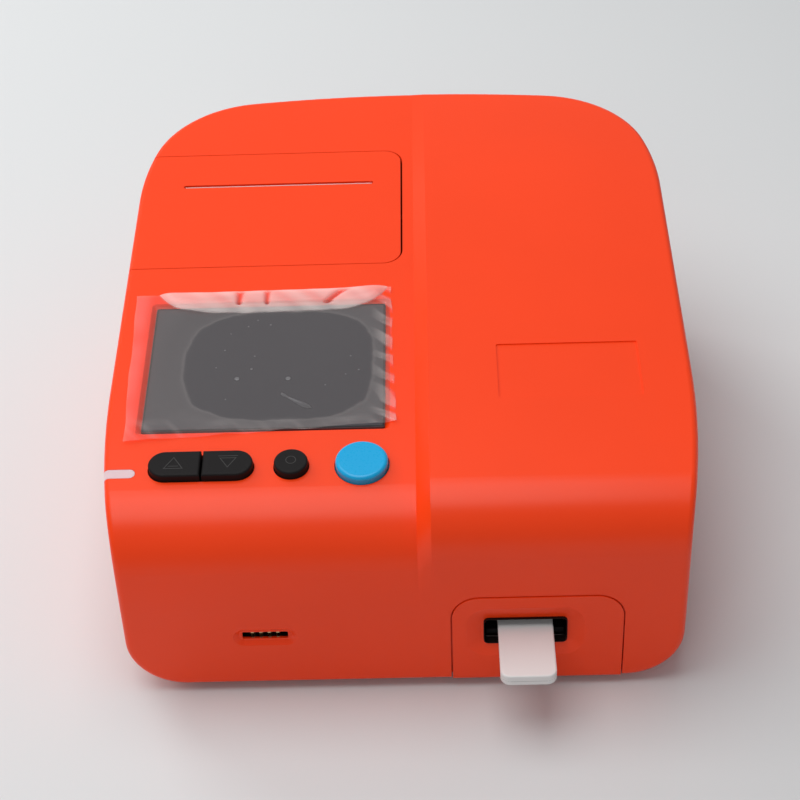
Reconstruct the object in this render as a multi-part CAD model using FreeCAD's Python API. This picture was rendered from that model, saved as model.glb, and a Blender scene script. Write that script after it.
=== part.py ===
"""Bench progesterone analyzer: moulded case, printer, screen, keys and test drawer, in millimetres.

The frame has +X to the right, +Y to the back and +Z up. The origin is on the bench surface, under the
middle of the whole footprint, which reaches from the tip of the test cassette to the back of the case.
"""
import FreeCAD, Part
import math
import os

from FreeCAD import Placement, Rotation, Vector

# Case form
case_width = 241.0
case_depth = 286.0
case_bottom = 4.0
front_inset = 8.5
side_bow_radius = 400.0
rear_bow_radius = 650.0
rear_corner_radius = 52.0
rear_ease_radius = 136.4
rear_ease_start = 75.0
under_radius = 23.0
edge_radius = 2.5
inner_edge_radius = 0.9
wall = 2.5
floor_wall = 4.5

# Console side, on the left
console_slope = 6.82
console_face_height = 45.0
console_lean_radius = 120.0
console_lean_turn = 9.0
console_roll_radius = 28.0

# Reader side, on the right, which stands higher at the front
reader_face_height = 69.5
reader_roll_radius = 24.0
reader_slope = 5.43
step_low_x = 6.4
step_high_x = 12.0

# Base
return_width = 26.0
ledge_width = 7.0
rebate_depth = 2.5
base_gap = 0.3
foot_radius = 9.0
foot_sink = 0.8
foot_edge = 0.8
foot_inset = 4.0
rear_foot_setback = 6.0
front_screw_share = 0.58
rear_screw_share = 0.55
screw_radius = 1.5
screw_head_radius = 2.9
screw_head_height = 1.8
thread_gap = 0.05
boss_radius = 3.3
boss_height = 8.0
base_screw_length = 8.5
small_screw_radius = 1.2
small_head_radius = 2.3
board_screw_length = 6.0

# Screen
screen_x = -55.6
screen_v = 96.3
screen_width = 99.4
screen_height = 75.2
screen_bevel = 2.0
window_margin = 3.0
window_thickness = 1.5
module_depth = 6.0
film_thickness = 0.2
film_gap = 0.1
# Corners of the film: across from the screen's middle and up the slope from it
film_corners = ((-59.3, 45.2), (52.1, 47.2), (54.6, -35.7), (-55.7, -42.7))

# Keys
key_v = 36.9
key_depth = 13.6
key_proud = 3.4
key_gap = 0.45
key_flange = 1.3
key_flange_thickness = 1.0
key_seat_gap = 0.2
key_travel = 1.0
key_edge_radius = 0.9
up_key_x = -99.8
pair_middle_x = -78.6
down_key_end_x = -58.1
pair_gap = 0.8
select_key_x = -43.0
select_key_radius = 6.75
start_key_x = -14.9
start_key_radius = 10.55
start_edge_radius = 1.6
plunger_radius = 1.7
switch_size = 6.2
switch_height = 3.6
key_board_level = -12.4
board_thickness = 1.6
key_board_length = 104.0
key_board_width = 31.0
key_board_x = -53.0
key_post_radius = 2.4
key_post_v = 13.0
key_post_span = 94.0

# Status light
light_end_x = -105.2
light_v = 34.9
light_width = 4.6
light_depth = 3.2
light_drop = 9.0
light_gap = 0.15

# Chip port
port_x = -55.7
port_z = 30.2
port_recess_length = 25.7
port_recess_height = 8.8
port_recess_depth = 1.4
port_recess_taper_x = 2.2
port_recess_taper_z = 1.8
port_mouth_length = 18.4
port_mouth_height = 3.6
port_body_depth = 14.0
port_rim = 2.6
contact_pitch = 3.4
contact_width = 1.7
contact_thickness = 0.4
contact_length = 9.0
contact_columns = 4

# Slot panel
panel_x = 53.4
panel_width = 69.4
panel_top = 49.8
panel_corner = 11.5
panel_gap = 0.6
panel_proud = 0.3
panel_flange = 2.5
panel_flange_thickness = 1.5
slot_x = 48.6
slot_z = 30.6
slot_width = 33.4
slot_height = 13.2
slot_corner = 2.0
throat_wall = 1.4
throat_depth = 7.0
dish_width = 47.0
dish_height = 26.0
dish_depth = 1.3

# Label recess on the reader side
label_x = 69.9
label_width = 58.7
label_v = 83.0
label_height = 32.6
label_depth = 0.5
label_corner = 0.8

# Test cassette
cassette_width = 22.0
cassette_length = 72.0
cassette_thickness = 4.9
cassette_top = 33.2
cassette_reach = 27.4
cassette_corner = 4.0
cassette_split = 2.3
cassette_rim = 0.7
cassette_skin = 0.8
well_radius = 3.0
well_behind = 9.0
result_width = 5.0
result_length = 16.0
result_behind = 18.0

# Test drawer
drawer_travel = 40.0
carriage_front = 42.0
carriage_length = 38.0
carriage_width = 56.0
tongue_width = 31.0
tongue_thickness = 2.4
tongue_front = 4.2
lip_height = 2.4
lip_width = 1.4
lip_gap = 0.3
guide_z = 19.0
guide_span = 44.0
guide_radius = 2.0
running_gap = 0.05
screw_shaft_radius = 2.5
journal_radius = 1.5
nut_radius = 4.0
nut_flange_radius = 6.5
nut_flange_thickness = 3.0
nut_length = 10.0
chassis_front = 34.0
chassis_length = 98.0
chassis_floor = 1.5
chassis_width = 66.0
chassis_wall = 3.0
chassis_end = 4.0
motor_size = 20.0
motor_length = 29.0
motor_screw_head = 1.4
motor_screw_radius = 1.0
motor_screw_head_radius = 1.9
motor_screw_span = 13.8
motor_screw_length = 8.0

# Reading optics
optics_v = 88.0
optics_depth = 34.0
optics_width = 32.0
optics_height = 24.0
optics_plate_z = 48.0
optics_plate = 2.0
barrel_radius = 7.0
barrel_bottom = 36.5
lens_radius = 5.0
lens_thickness = 2.0

# Printer lid and bay
lid_right_x = 1.5
lid_front_v = 159.6
lid_back_v = 241.7
lid_gap = 0.35
lid_hinge_gap = 0.8
lid_corner = 8.0
lid_corner_growth = 0.6
lid_drop = 24.0
lid_barrel_radius = 2.2
lid_pin_radius = 0.8
lid_pin_reach = 4.5
hinge_rib_width = 7.0
hinge_rib_height = 5.5
rib_overlap = 0.3
paper_slot_x = -56.1
paper_slot_length = 88.2
paper_slot_v = 217.8
paper_slot_width = 1.9
bay_left = -107.0
bay_right = -7.8
bay_front = 161.5
bay_back = 236.5
bay_wall = 2.0
bay_rim_gap = 0.5
bay_flange_depth = 7.5
bay_flange_width = 9.0
bay_post_radius = 3.0
bay_screw_length = 5.0
bay_post_inset = 6.0
roll_y = 186.5
roll_pocket_z = 80.5
roll_pocket_radius = 21.6
roll_radius = 20.0
roll_core_radius = 6.0
roll_width = 79.5
seat_gap = 0.3
roll_guide = 82.0
paper_step_z = 95.0
barrel_room = 5.4
barrel_room_x = -12.0
printer_shelf_z = 73.0
printer_front = 210.5

# Printer mechanism
platen_y = 222.0
platen_z = 95.0
platen_radius = 5.0
platen_shaft_radius = 1.5
platen_length = 80.0
printer_span = 82.0
printer_plate = 1.5
printer_plate_front = 212.0
printer_plate_back = 233.0
gear_module = 0.5
platen_teeth = 40
motor_teeth = 14
gear_width = 3.0
gear_backlash = 0.12
pressure_angle = 20.0
printer_motor_radius = 7.2
printer_motor_length = 16.0
head_thickness = 2.0
head_height = 12.0
head_length = 81.6
paper_thickness = 0.2
paper_width = 79.5
paper_below_lid = 0.5
paper_start_z = 91.0

# Main board and rear sockets
board_x = 16.0
board_width = 88.0
board_front = 190.0
board_rear_gap = 3.5
board_edge_inset = 4.0
board_rear_inset = 8.0
board_z = 20.0
post_radius = 3.2
# Chips on the board: across from its middle, behind its front edge, side and height
chip_places = ((-12.0, 25.0, 20.0, 1.8), (16.0, 22.0, 12.0, 1.4), (16.0, 40.0, 12.0, 1.4),
               (-34.0, 44.0, 9.0, 3.0))
buzzer_radius = 6.0
buzzer_height = 8.0
buzzer_edge = 0.8
buzzer_hole_radius = 1.2
buzzer_hole_depth = 2.0
buzzer_across = 34.0
buzzer_behind = 24.0
rear_pocket_width = 102.0
rear_pocket_bottom = 18.0
rear_pocket_top = 46.0
rear_pocket_depth = 4.0
rear_pocket_wall = 2.4
rear_pocket_corner = 3.0
rear_pad_margin = 3.0
socket_gap = 0.25
socket_proud = 0.2
jack_x = -17.0
jack_size = 11.0
jack_depth = 14.0
jack_bore_radius = 3.15
jack_pin_radius = 1.0
usb_x = 0.5
usb_width = 13.2
usb_height = 6.2
usb_tongue_thickness = 1.8
usb_shell = 0.5
usb_depth = 14.0
serial_x = 28.0
serial_width = 31.0
serial_height = 12.6
serial_depth = 12.0
serial_pins = 5
serial_pitch = 2.77
serial_screw_span = 25.0
serial_mouth_top = 8.45
serial_mouth_bottom = 7.2
serial_mouth_half = 4.2
serial_mouth_corner = 1.5
serial_row_offset = 1.42
serial_hole_radius = 0.6
serial_body_inset = 5.0
serial_flange = 1.0
jack_screw_corner = 2.7
jack_screw_head = 2.0
jack_screw_shank = 5.0
jack_screw_bore = 1.0
rocker_x = -38.0
rocker_width = 13.0
rocker_height = 19.4
rocker_z = 31.0
rocker_depth = 14.0
rocker_frame = 1.5
rocker_gap = 0.3
rocker_throw = 14.0
rocker_pin_radius = 1.2
rocker_pin_depth = 4.8
rocker_reach = 5.2
rocker_dip = 1.6
vent_count = 9
vent_pitch = 8.0
vent_width = 3.0
vent_length = 46.0

# Places that follow from the sizes above
front_y = (cassette_reach - case_depth) / 2
back_y = front_y + case_depth
half_width = case_width / 2
front_width = case_width - 2 * front_inset
slope = math.radians(console_slope)
inner_floor = case_bottom + floor_wall
deck_z = inner_floor
cassette_bottom = cassette_top - cassette_thickness
lid_axis_x = lid_right_x - lid_hinge_gap - lid_corner
hinge_v0 = lid_front_v - lid_pin_reach
hinge_v1 = lid_back_v + lid_pin_reach
roll_z = roll_pocket_z - (roll_pocket_radius - roll_radius - seat_gap)
printer_left = paper_slot_x - printer_span / 2
printer_right = paper_slot_x + printer_span / 2
gear_x = printer_right + printer_plate + seat_gap
gear_distance = gear_module * (platen_teeth + motor_teeth) / 2
motor_z = platen_z - gear_distance
chassis_back = chassis_front + chassis_length
chassis_rear_wall = chassis_back - chassis_end
tongue_low = cassette_bottom - tongue_thickness
rear_face = case_depth - rear_pocket_depth
board_back = rear_face - board_rear_gap
board_top = board_z + board_thickness
serial_z = board_top + serial_height / 2
rocker_v = rear_face - rocker_pin_depth
big = 400.0
X_AXIS = Vector(1, 0, 0)
Y_AXIS = Vector(0, 1, 0)
Z_AXIS = Vector(0, 0, 1)


def box(x0, x1, y0, y1, z0, z1):
    return Part.makeBox(x1 - x0, y1 - y0, z1 - z0, Vector(x0, y0, z0))


def rod(radius, start, axis, length):
    return Part.makeCylinder(radius, length, start, axis)


def fuse(shapes):
    return shapes[0].multiFuse(list(shapes[1:])).removeSplitter()


def rounded_plate(width, height, radius, thickness):
    """A plate with rounded corners, centred on the origin, standing up from z = 0."""
    x, y = width / 2, height / 2
    core = Part.makeBox(width, height, thickness, Vector(-x, -y, 0))
    upright = [e for e in core.Edges if abs(e.tangentAt(e.FirstParameter).z) > 0.9]
    return core.makeFillet(radius, upright)


def moved(shape, placement):
    """A copy of a shape, moved from where it is now."""
    copy = shape.copy()
    copy.Placement = placement.multiply(copy.Placement)
    return copy


def on_front(shape, x, z, depth):
    """Stand a shape drawn in the XY plane upright, with its thickness running back from the front."""
    turned = moved(shape, Placement(Vector(x, front_y + depth, z), Rotation(X_AXIS, 90)))
    return turned.mirror(Vector(x, front_y + depth, z), Y_AXIS)


def arc_end(point, heading, radius, turn):
    """Walk an arc that bends to the right of its heading, and give its middle, end and new heading."""
    angle = math.radians(heading)
    centre = point + Vector(math.sin(angle), -math.cos(angle)) * radius

    def at(part):
        around = math.radians(heading + 90 - turn * part)
        return centre + Vector(math.cos(around), math.sin(around)) * radius

    return at(0.5), at(1.0), heading - turn


def walk(start, heading, steps):
    """Edges of an outline in the XY plane, from steps that are (length,) or (radius, turn)."""
    edges = []
    point = start
    for step in steps:
        if len(step) == 1:
            angle = math.radians(heading)
            end = point + Vector(math.cos(angle), math.sin(angle)) * step[0]
            edges.append(Part.makeLine(point, end))
        else:
            middle, end, heading = arc_end(point, heading, step[0], step[1])
            edges.append(Part.Arc(point, middle, end).toShape())
        point = end
    return edges, point


def console_top_corner():
    """Height at which the console's sloping top would meet the front face."""
    lean = math.radians(console_lean_turn)
    end = math.radians(90 - console_slope)
    run = console_lean_radius * (1 - math.cos(lean))
    run += console_roll_radius * (math.cos(lean) - math.cos(end))
    rise = console_face_height + console_lean_radius * math.sin(lean)
    rise += console_roll_radius * (math.sin(end) - math.sin(lean))
    return rise - run * math.tan(slope)


console_corner_z = console_top_corner()


def on_console(shape):
    """Place a shape drawn with x across, y up the slope from the front and z out of the console top."""
    return moved(shape, Placement(Vector(0, front_y, console_corner_z), Rotation(X_AXIS, console_slope)))


def plan_outline():
    """The case seen from above: flat front, bowed sides, soft rear corners and a slightly bowed back."""
    both = math.radians(rear_ease_start)
    corner_and_ease = rear_corner_radius * math.sin(both) + rear_ease_radius * (1 - math.sin(both))
    bow = math.asin((half_width - corner_and_ease) / (rear_bow_radius - rear_corner_radius))
    drop = rear_bow_radius * (1 - math.cos(bow))
    drop += rear_corner_radius * (math.cos(bow) - math.cos(both)) + rear_ease_radius * math.cos(both)
    front_turn = math.degrees(math.acos(1 - front_inset / side_bow_radius))
    bow_length = side_bow_radius * math.sin(math.radians(front_turn))
    bow_turn = math.degrees(bow)
    steps = [(rear_bow_radius, bow_turn), (rear_corner_radius, rear_ease_start - bow_turn)]
    steps.append((rear_ease_radius, 90 - rear_ease_start))
    steps += [(case_depth - drop - bow_length,), (side_bow_radius, front_turn)]
    edges, end = walk(Vector(0, back_y), 0, steps)
    mirrored = [e.mirror(Vector(0, 0), X_AXIS) for e in edges]
    edges.append(Part.makeLine(end, Vector(-end.x, end.y)))
    return Part.Face(Part.Wire(Part.__sortEdges__(edges + mirrored)))


def plan_prism(inset, z0, z1):
    """The plan outline, drawn in by an inset, as a prism between two heights."""
    face = plan_outline()
    if inset:
        face = face.makeOffset2D(-inset)
    face.translate(Vector(0, 0, z0))
    return face.extrude(Vector(0, 0, z1 - z0))


def profile_wire(x, steps, top_slope, inset, bottom):
    """A side profile in the plane at x, from the bottom of the front face over the roof to the back."""
    start = Vector(bottom, -inset)
    edges, point = walk(start, 0, steps)
    back = case_depth - inset
    run = back - (-point.y)
    end = Vector(point.x + run * math.tan(math.radians(top_slope)), -back)
    edges.append(Part.makeLine(point, end))
    edges.append(Part.makeLine(end, Vector(bottom, -back)))
    edges.append(Part.makeLine(Vector(bottom, -back), start))
    wire = Part.Wire(edges)
    # Drawn as (height, minus distance from the front), and turned here into the plane at x
    wire.transformShape(FreeCAD.Matrix(0, 0, 1, x, 0, -1, 0, front_y, 1, 0, 0, 0, 0, 0, 0, 1))
    return wire


def console_profile(x, inset, bottom):
    steps = [(console_face_height - bottom,)]
    steps.append((console_lean_radius - inset, console_lean_turn))
    steps.append((console_roll_radius - inset, 90 - console_slope - console_lean_turn))
    return profile_wire(x, steps, console_slope, inset, bottom)


def reader_profile(x, inset, bottom):
    steps = [(console_face_height - bottom,), (reader_face_height - console_face_height,)]
    steps.append((reader_roll_radius - inset, 90 - reader_slope))
    return profile_wire(x, steps, reader_slope, inset, bottom)


def case_form(inset, bottom, under, edge):
    """The closed outer form of the case, or the same form drawn in by a wall."""
    left = Part.Face(console_profile(-half_width - 5, inset, bottom))
    left = left.extrude(Vector(half_width + 5 + step_low_x, 0, 0))
    right = Part.Face(reader_profile(step_high_x, inset, bottom))
    right = right.extrude(Vector(half_width + 5 - step_high_x, 0, 0))
    step_faces = [console_profile(step_low_x, inset, bottom), reader_profile(step_high_x, inset, bottom)]
    step = Part.makeLoft(step_faces, True, True)
    form = fuse([left, step, right])
    form = form.common(plan_prism(inset, bottom, big)).removeSplitter()
    face_y = front_y + inset

    def is_bottom(e):
        return e.BoundBox.ZMax < bottom + 0.01 and e.BoundBox.YMax > face_y + 0.5

    form = form.makeFillet(under, [e for e in form.Edges if is_bottom(e)])
    walls = plan_prism(inset, bottom - 1, big).Shells[0]
    rim = [e for e in form.Edges if is_rim(e, walls, face_y, bottom, under)]
    return form.makeFillet(edge, rim).Solids[0]


def is_rim(edge, walls, face_y, bottom, under):
    """True for the edges round the front face, and where the roll and the roof meet the walls."""
    b = edge.BoundBox
    if b.YMax < face_y + 0.01:
        beside = abs(b.XMin + b.XMax) / 2 > front_width / 2 - under - wall
        return beside or b.ZMax < bottom + 0.01
    on_walls = max(walls.distToShape(v)[0] for v in edge.Vertexes) < 0.01
    return on_walls and b.ZMin > bottom + under + 1


def reader_top_corner():
    """Height at which the reader side's sloping top would meet the front face."""
    end = math.radians(90 - reader_slope)
    run = reader_roll_radius * (1 - math.cos(end))
    rise = reader_face_height + reader_roll_radius * math.sin(end)
    return rise - run * math.tan(math.radians(reader_slope))


def on_reader(shape):
    corner = Vector(0, front_y, reader_top_corner())
    return moved(shape, Placement(corner, Rotation(X_AXIS, reader_slope)))


def from_front(x0, x1, v0, v1, z0, z1):
    """A box whose depths are measured back from the front face."""
    return box(x0, x1, front_y + v0, front_y + v1, z0, z1)


def rod_back(radius, x, v, z, length):
    """A round bar that runs straight back from a depth behind the front face."""
    return rod(radius, Vector(x, front_y + v, z), Y_AXIS, length)


def post(radius, x, v, z0, z1):
    return rod(radius, Vector(x, front_y + v, z0), Z_AXIS, z1 - z0)


def stadium(x0, x1, middle, depth):
    """A face with two round ends, drawn in the XY plane."""
    r = depth / 2
    a, b = Vector(x0 + r, middle + r), Vector(x1 - r, middle + r)
    c, d = Vector(x1 - r, middle - r), Vector(x0 + r, middle - r)
    right = Part.Arc(b, Vector(x1, middle), c).toShape()
    left = Part.Arc(d, Vector(x0, middle), a).toShape()
    return Part.Face(Part.Wire([Part.makeLine(a, b), right, Part.makeLine(c, d), left]))


def disc(x, y, radius):
    return Part.Face(Part.Wire(Part.makeCircle(radius, Vector(x, y, 0))))


def prism(face, low, high):
    start = moved(face, Placement(Vector(0, 0, low), Rotation()))
    return start.extrude(Vector(0, 0, high - low))


def lid_outline(grow_right, grow_ends, radius):
    """The lid seen square to the console top: it runs off the left side and is rounded on the right."""
    x1 = lid_right_x - lid_hinge_gap + grow_right
    v0 = lid_front_v + lid_gap - grow_ends
    v1 = lid_back_v - lid_gap + grow_ends
    width = x1 + case_width
    plate = rounded_plate(width, v1 - v0, radius, lid_drop + big)
    plate.translate(Vector(x1 - width / 2, (v0 + v1) / 2, -lid_drop))
    return plate


def key_faces():
    """The outline of each key, drawn on the console top, with the outline of the well it moves in."""
    pair = stadium(up_key_x, down_key_end_x, key_v, key_depth)
    select = disc(select_key_x, key_v, select_key_radius)
    start = disc(start_key_x, key_v, start_key_radius)
    return pair, select, start


def half_plane(side):
    """Everything left (-1) or right (+1) of the gap between the two joined keys."""
    edge = pair_middle_x + side * pair_gap / 2
    x0 = edge if side > 0 else edge - case_width
    return box(x0, x0 + case_width, 0, case_depth, -big, big)


def make_key(face, stem_x, side=0, edge=key_edge_radius):
    """A key cap with its retaining flange under the cover and its stem in the switch."""
    low = -(wall + key_seat_gap)
    cap = prism(face, low, key_proud)
    flange = prism(face.makeOffset2D(key_flange), low - key_flange_thickness, low)
    if side:
        cap = cap.common(half_plane(side))
        flange = flange.common(half_plane(side))
    top = [e for e in cap.Edges if e.BoundBox.ZMin > key_proud - 0.01]
    cap = cap.makeFillet(edge, top)
    stem_end = key_board_level + switch_height - key_travel
    stem = rod(plunger_radius, Vector(stem_x, key_v, stem_end), Z_AXIS, low - stem_end)
    return on_console(fuse([cap, flange, stem]))


def switch_places():
    left = (up_key_x + pair_middle_x) / 2
    right = (down_key_end_x + pair_middle_x) / 2
    return [left, right, select_key_x, start_key_x]


def make_tact_switches():
    """Four push switches soldered under the keys, each with a bore that its key's stem dips into."""
    made = []
    for x in switch_places():
        half = switch_size / 2
        body = box(x - half, x + half, key_v - half, key_v + half, key_board_level,
                   key_board_level + switch_height)
        bore_low = key_board_level + switch_height - 2 * key_travel - seat_gap
        bore = rod(plunger_radius + key_seat_gap, Vector(x, key_v, bore_low), Z_AXIS, switch_height)
        made.append(body.cut(bore))
    return on_console(Part.Compound(made))


def key_post_places():
    half = key_post_span / 2
    return [(key_board_x + sx * half, key_v + sv * key_post_v) for sx in (-1, 1) for sv in (-1, 1)]


def make_key_board():
    x = key_board_x
    plate = rounded_plate(key_board_length, key_board_width, 2.0, board_thickness)
    plate.translate(Vector(x, key_v, key_board_level - board_thickness))
    for px, pv in key_post_places():
        plate = plate.cut(rod(screw_radius, Vector(px, pv, -big), Z_AXIS, 2 * big))
    return on_console(plate)


def make_screw(head_radius, head_height, shank_radius, shank_length):
    """A pan head screw standing head down on the origin, with a cross recess in the head."""
    head = Part.makeCylinder(head_radius, head_height)
    head = head.makeFillet(head_height / 3, [e for e in head.Edges if e.BoundBox.ZMax < 0.01])
    shank = Part.makeCylinder(shank_radius, shank_length, Vector(0, 0, head_height))
    arm, across = head_radius * 0.6, head_radius * 0.12
    cross = box(-arm, arm, -across, across, -1, head_height / 2)
    cross = cross.fuse(box(-across, across, -arm, arm, -1, head_height / 2))
    return head.fuse(shank).cut(cross)


def make_key_board_screws():
    made = []
    for x, v in key_post_places():
        screw = make_screw(small_head_radius, screw_head_height, small_screw_radius, board_screw_length)
        screw.translate(Vector(x, v, key_board_level - board_thickness - screw_head_height))
        made.append(screw)
    return on_console(Part.Compound(made))


def base_screw_places():
    """Three pairs of screws along the ledge that the base tray closes on."""
    inset = return_width + ledge_width / 2
    rear_x = half_width * rear_screw_share
    sag = rear_bow_radius - math.sqrt(rear_bow_radius ** 2 - rear_x ** 2)
    places = []
    for side in (-1, 1):
        places.append((side * half_width * front_screw_share, inset))
        places.append((side * (half_width - inset), case_depth / 2))
        places.append((side * rear_x, case_depth - sag - inset))
    return places


def foot_places():
    inset = return_width + ledge_width + foot_radius + foot_inset
    rear_v = case_depth - inset - rear_foot_setback
    places = []
    for side in (-1, 1):
        places.append((side * (half_width - inset), inset))
        places.append((side * (half_width - inset - foot_inset), rear_v))
    return places


def board_post_places():
    half = board_width / 2 - board_edge_inset
    v1 = case_depth - return_width - ledge_width - board_rear_inset
    return [(board_x + sx * half, v) for sx in (-1, 1) for v in (board_front + board_edge_inset, v1)]


def bay_post_places():
    half = roll_guide / 2 - bay_post_inset
    flange_middle = bay_flange_width / 2
    return [(paper_slot_x + sx * half, v) for sx in (-1, 1)
            for v in (bay_front - flange_middle, bay_back + flange_middle)]


def roof_plane(depth):
    """Everything lower than a depth under the console top."""
    return on_console(box(-big, big, -big, big, -big, -depth))


def panel_plate(grow, thickness, bottom, depth):
    """The slot panel's outline, rounded at the top and running down to a level, as a plate."""
    width = panel_width + 2 * grow
    top = panel_top + grow
    height = top - bottom + 2 * panel_corner
    plate = rounded_plate(width, height, panel_corner + grow, thickness)
    plate = on_front(plate, panel_x, top - height / 2, depth)
    return plate.cut(box(-big, big, -big, big, bottom - big, bottom))


def front_plate(width, height, corner, thickness, x, z, depth):
    return on_front(rounded_plate(width, height, corner, thickness), x, z, depth)


def front_loft(outer_size, inner_size, x, z, depth0, depth1):
    """A tapered pocket in the front face between two rounded outlines (width, height, corner)."""
    wires = []
    for size, depth in ((outer_size, depth0), (inner_size, depth1)):
        plate = front_plate(size[0], size[1], size[2], 1.0, x, z, depth)
        front = min(plate.Faces, key=lambda f: f.CenterOfMass.y)
        wires.append(front.OuterWire)
    return Part.makeLoft(wires, True, True)


def light_region(grow):
    """The strip that the status light takes out of the cover at its left edge."""
    depth = light_width + 2 * grow
    face = stadium(-case_width, light_end_x + grow, light_v, depth)
    return on_console(prism(face, -light_drop - grow, big))


def make_upper_cover():
    """The main moulding: stepped top, rolled front, soft corners, and every opening and boss in it."""
    cover = case_shell
    cover = cover.cut(plan_prism(return_width + ledge_width, case_bottom - 1, inner_floor + 1))
    cover = cover.cut(plan_prism(return_width, case_bottom - 1, case_bottom + rebate_depth))
    bosses = [post(boss_radius, x, v, inner_floor - rib_overlap,
                   inner_floor + boss_height) for x, v in base_screw_places()]
    for x, v in key_post_places():
        foot = Vector(x, v, key_board_level)
        bosses.append(on_console(rod(key_post_radius, foot, Z_AXIS, -key_board_level - wall + rib_overlap)))
    for x, v in bay_post_places():
        foot = Vector(x, v, -bay_flange_depth)
        bosses.append(on_console(rod(bay_post_radius, foot, Z_AXIS, bay_flange_depth - wall + rib_overlap)))
    for v0, v1 in ((hinge_v0, lid_front_v), (lid_back_v, hinge_v1)):
        half = hinge_rib_width / 2
        rib = box(lid_axis_x - half, lid_axis_x + half, v0, v1, -hinge_rib_height, -wall + rib_overlap)
        bosses.append(on_console(rib))
    pad_half = rear_pocket_width / 2 + rear_pad_margin
    pad = from_front(-pad_half, pad_half, case_depth - rear_pocket_depth - rear_pocket_wall, case_depth,
                     inner_floor - rib_overlap, rear_pocket_top + rear_pad_margin)
    bosses.append(pad.common(outer_form))
    cover = fuse([cover] + bosses)
    # Openings in the top
    cuts = [on_console(lid_outline(lid_hinge_gap, lid_gap, lid_corner + lid_corner_growth))]
    cuts.append(screen_opening())
    pair, select, start = key_faces()
    for face in (pair, select, start):
        cuts.append(on_console(prism(face.makeOffset2D(key_gap), -wall - 1, 5)))
    cuts.append(light_region(light_gap))
    label = rounded_plate(label_width, label_height, label_corner, 2.0)
    label.translate(Vector(label_x, label_v, -label_depth))
    cuts.append(on_reader(label))
    pin = rod(lid_pin_radius, Vector(lid_axis_x, hinge_v0 - 1, -lid_barrel_radius), Y_AXIS,
              hinge_v1 - hinge_v0 + 2)
    cuts.append(on_console(pin))
    # Openings in the front
    port_outer = (port_recess_length, port_recess_height, port_recess_height / 2 - 0.01)
    inner_height = port_recess_height - 2 * port_recess_taper_z
    port_inner = (port_recess_length - 2 * port_recess_taper_x, inner_height, inner_height / 2 - 0.01)
    cuts.append(front_loft(port_outer, port_inner, port_x, port_z, -0.01, port_recess_depth))
    cuts.append(front_plate(port_mouth_length, port_mouth_height, 0.5, wall + 2, port_x, port_z, -1))
    cuts.append(panel_plate(0, wall + 2, case_bottom - 2, -1))
    behind = wall + thread_gap + panel_flange_thickness + seat_gap
    cuts.append(from_front(panel_x - panel_width / 2, panel_x + panel_width / 2, -1, behind, 0,
                           inner_floor + 1))
    # Openings in the back
    pocket = rounded_plate(rear_pocket_width, rear_pocket_top - rear_pocket_bottom, rear_pocket_corner, 10)
    pocket_z = (rear_pocket_top + rear_pocket_bottom) / 2
    cuts.append(on_front(pocket, 0, pocket_z, case_depth - rear_pocket_depth))
    cuts += rear_openings()
    # Screw holes
    for x, v in base_screw_places():
        cuts.append(post(screw_radius + thread_gap, x, v, case_bottom, inner_floor + boss_height - 1))
    for x, v in key_post_places():
        hole = Vector(x, v, key_board_level - 1)
        cuts.append(on_console(rod(small_screw_radius + thread_gap, hole, Z_AXIS, 8.0)))
    for x, v in bay_post_places():
        hole = Vector(x, v, -bay_flange_depth - 1)
        cuts.append(on_console(rod(small_screw_radius + thread_gap, hole, Z_AXIS, 6.0)))
    return cut_all(cover, cuts)


def cut_all(shape, cuts):
    for tool in cuts:
        shape = shape.cut(tool)
    return shape


def screen_opening():
    """The window's opening, with its bevelled edge."""
    half_x, half_v = screen_width / 2, screen_height / 2
    wires = []
    for grow, level in ((0.0, -wall - 0.5), (0.0, -wall + 0.5), (screen_bevel, 0.0), (screen_bevel, 1.0)):
        plate = rounded_plate(2 * (half_x + grow), 2 * (half_v + grow), 1.0 + grow / 2, 1.0)
        plate.translate(Vector(screen_x, screen_v, level))
        wires.append(min(plate.Faces, key=lambda f: f.CenterOfMass.z).OuterWire)
    return on_console(Part.makeLoft(wires, True, True))


def screen_plate(margin, low, high, corner):
    plate = rounded_plate(screen_width + 2 * margin, screen_height + 2 * margin, corner, high - low)
    plate.translate(Vector(screen_x, screen_v, low))
    return on_console(plate)


def make_screen_window():
    return screen_plate(window_margin, -wall - window_thickness, -wall, 2.0)


def make_lcd_module():
    top = -wall - window_thickness
    return screen_plate(window_margin - 0.5, top - module_depth, top, 1.0)


def make_screen_film():
    """The loose factory film over the screen, a little askew, with one long and one short side."""
    points = [Vector(screen_x + x, screen_v + v) for x, v in film_corners]
    face = Part.Face(Part.makePolygon(points + points[:1]))
    return on_console(prism(face, film_gap, film_gap + film_thickness))


def make_status_light_pipe():
    return case_shell.common(light_region(0.0))


def make_printer_lid():
    """The lid's shell with the hinge barrel along its right side and the paper slot."""
    region = on_console(lid_outline(0.0, 0.0, lid_corner))
    lid = case_shell.common(region)
    v0, v1 = lid_front_v + lid_gap, lid_back_v - lid_gap
    barrel = rod(lid_barrel_radius, Vector(lid_axis_x, v0, -lid_barrel_radius), Y_AXIS, v1 - v0)
    bore = rod(lid_pin_radius + running_gap, Vector(lid_axis_x, v0 - 1, -lid_barrel_radius), Y_AXIS,
               v1 - v0 + 2)
    half = paper_slot_length / 2
    slot = stadium(paper_slot_x - half, paper_slot_x + half, paper_slot_v, paper_slot_width)
    lid = lid.fuse(on_console(barrel)).removeSplitter()
    return cut_all(lid, [on_console(bore), on_console(prism(slot, -2 * wall, 5))])


def make_lid_hinge_pin():
    return on_console(rod(lid_pin_radius, Vector(lid_axis_x, hinge_v0, -lid_barrel_radius), Y_AXIS,
                          hinge_v1 - hinge_v0))


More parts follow.
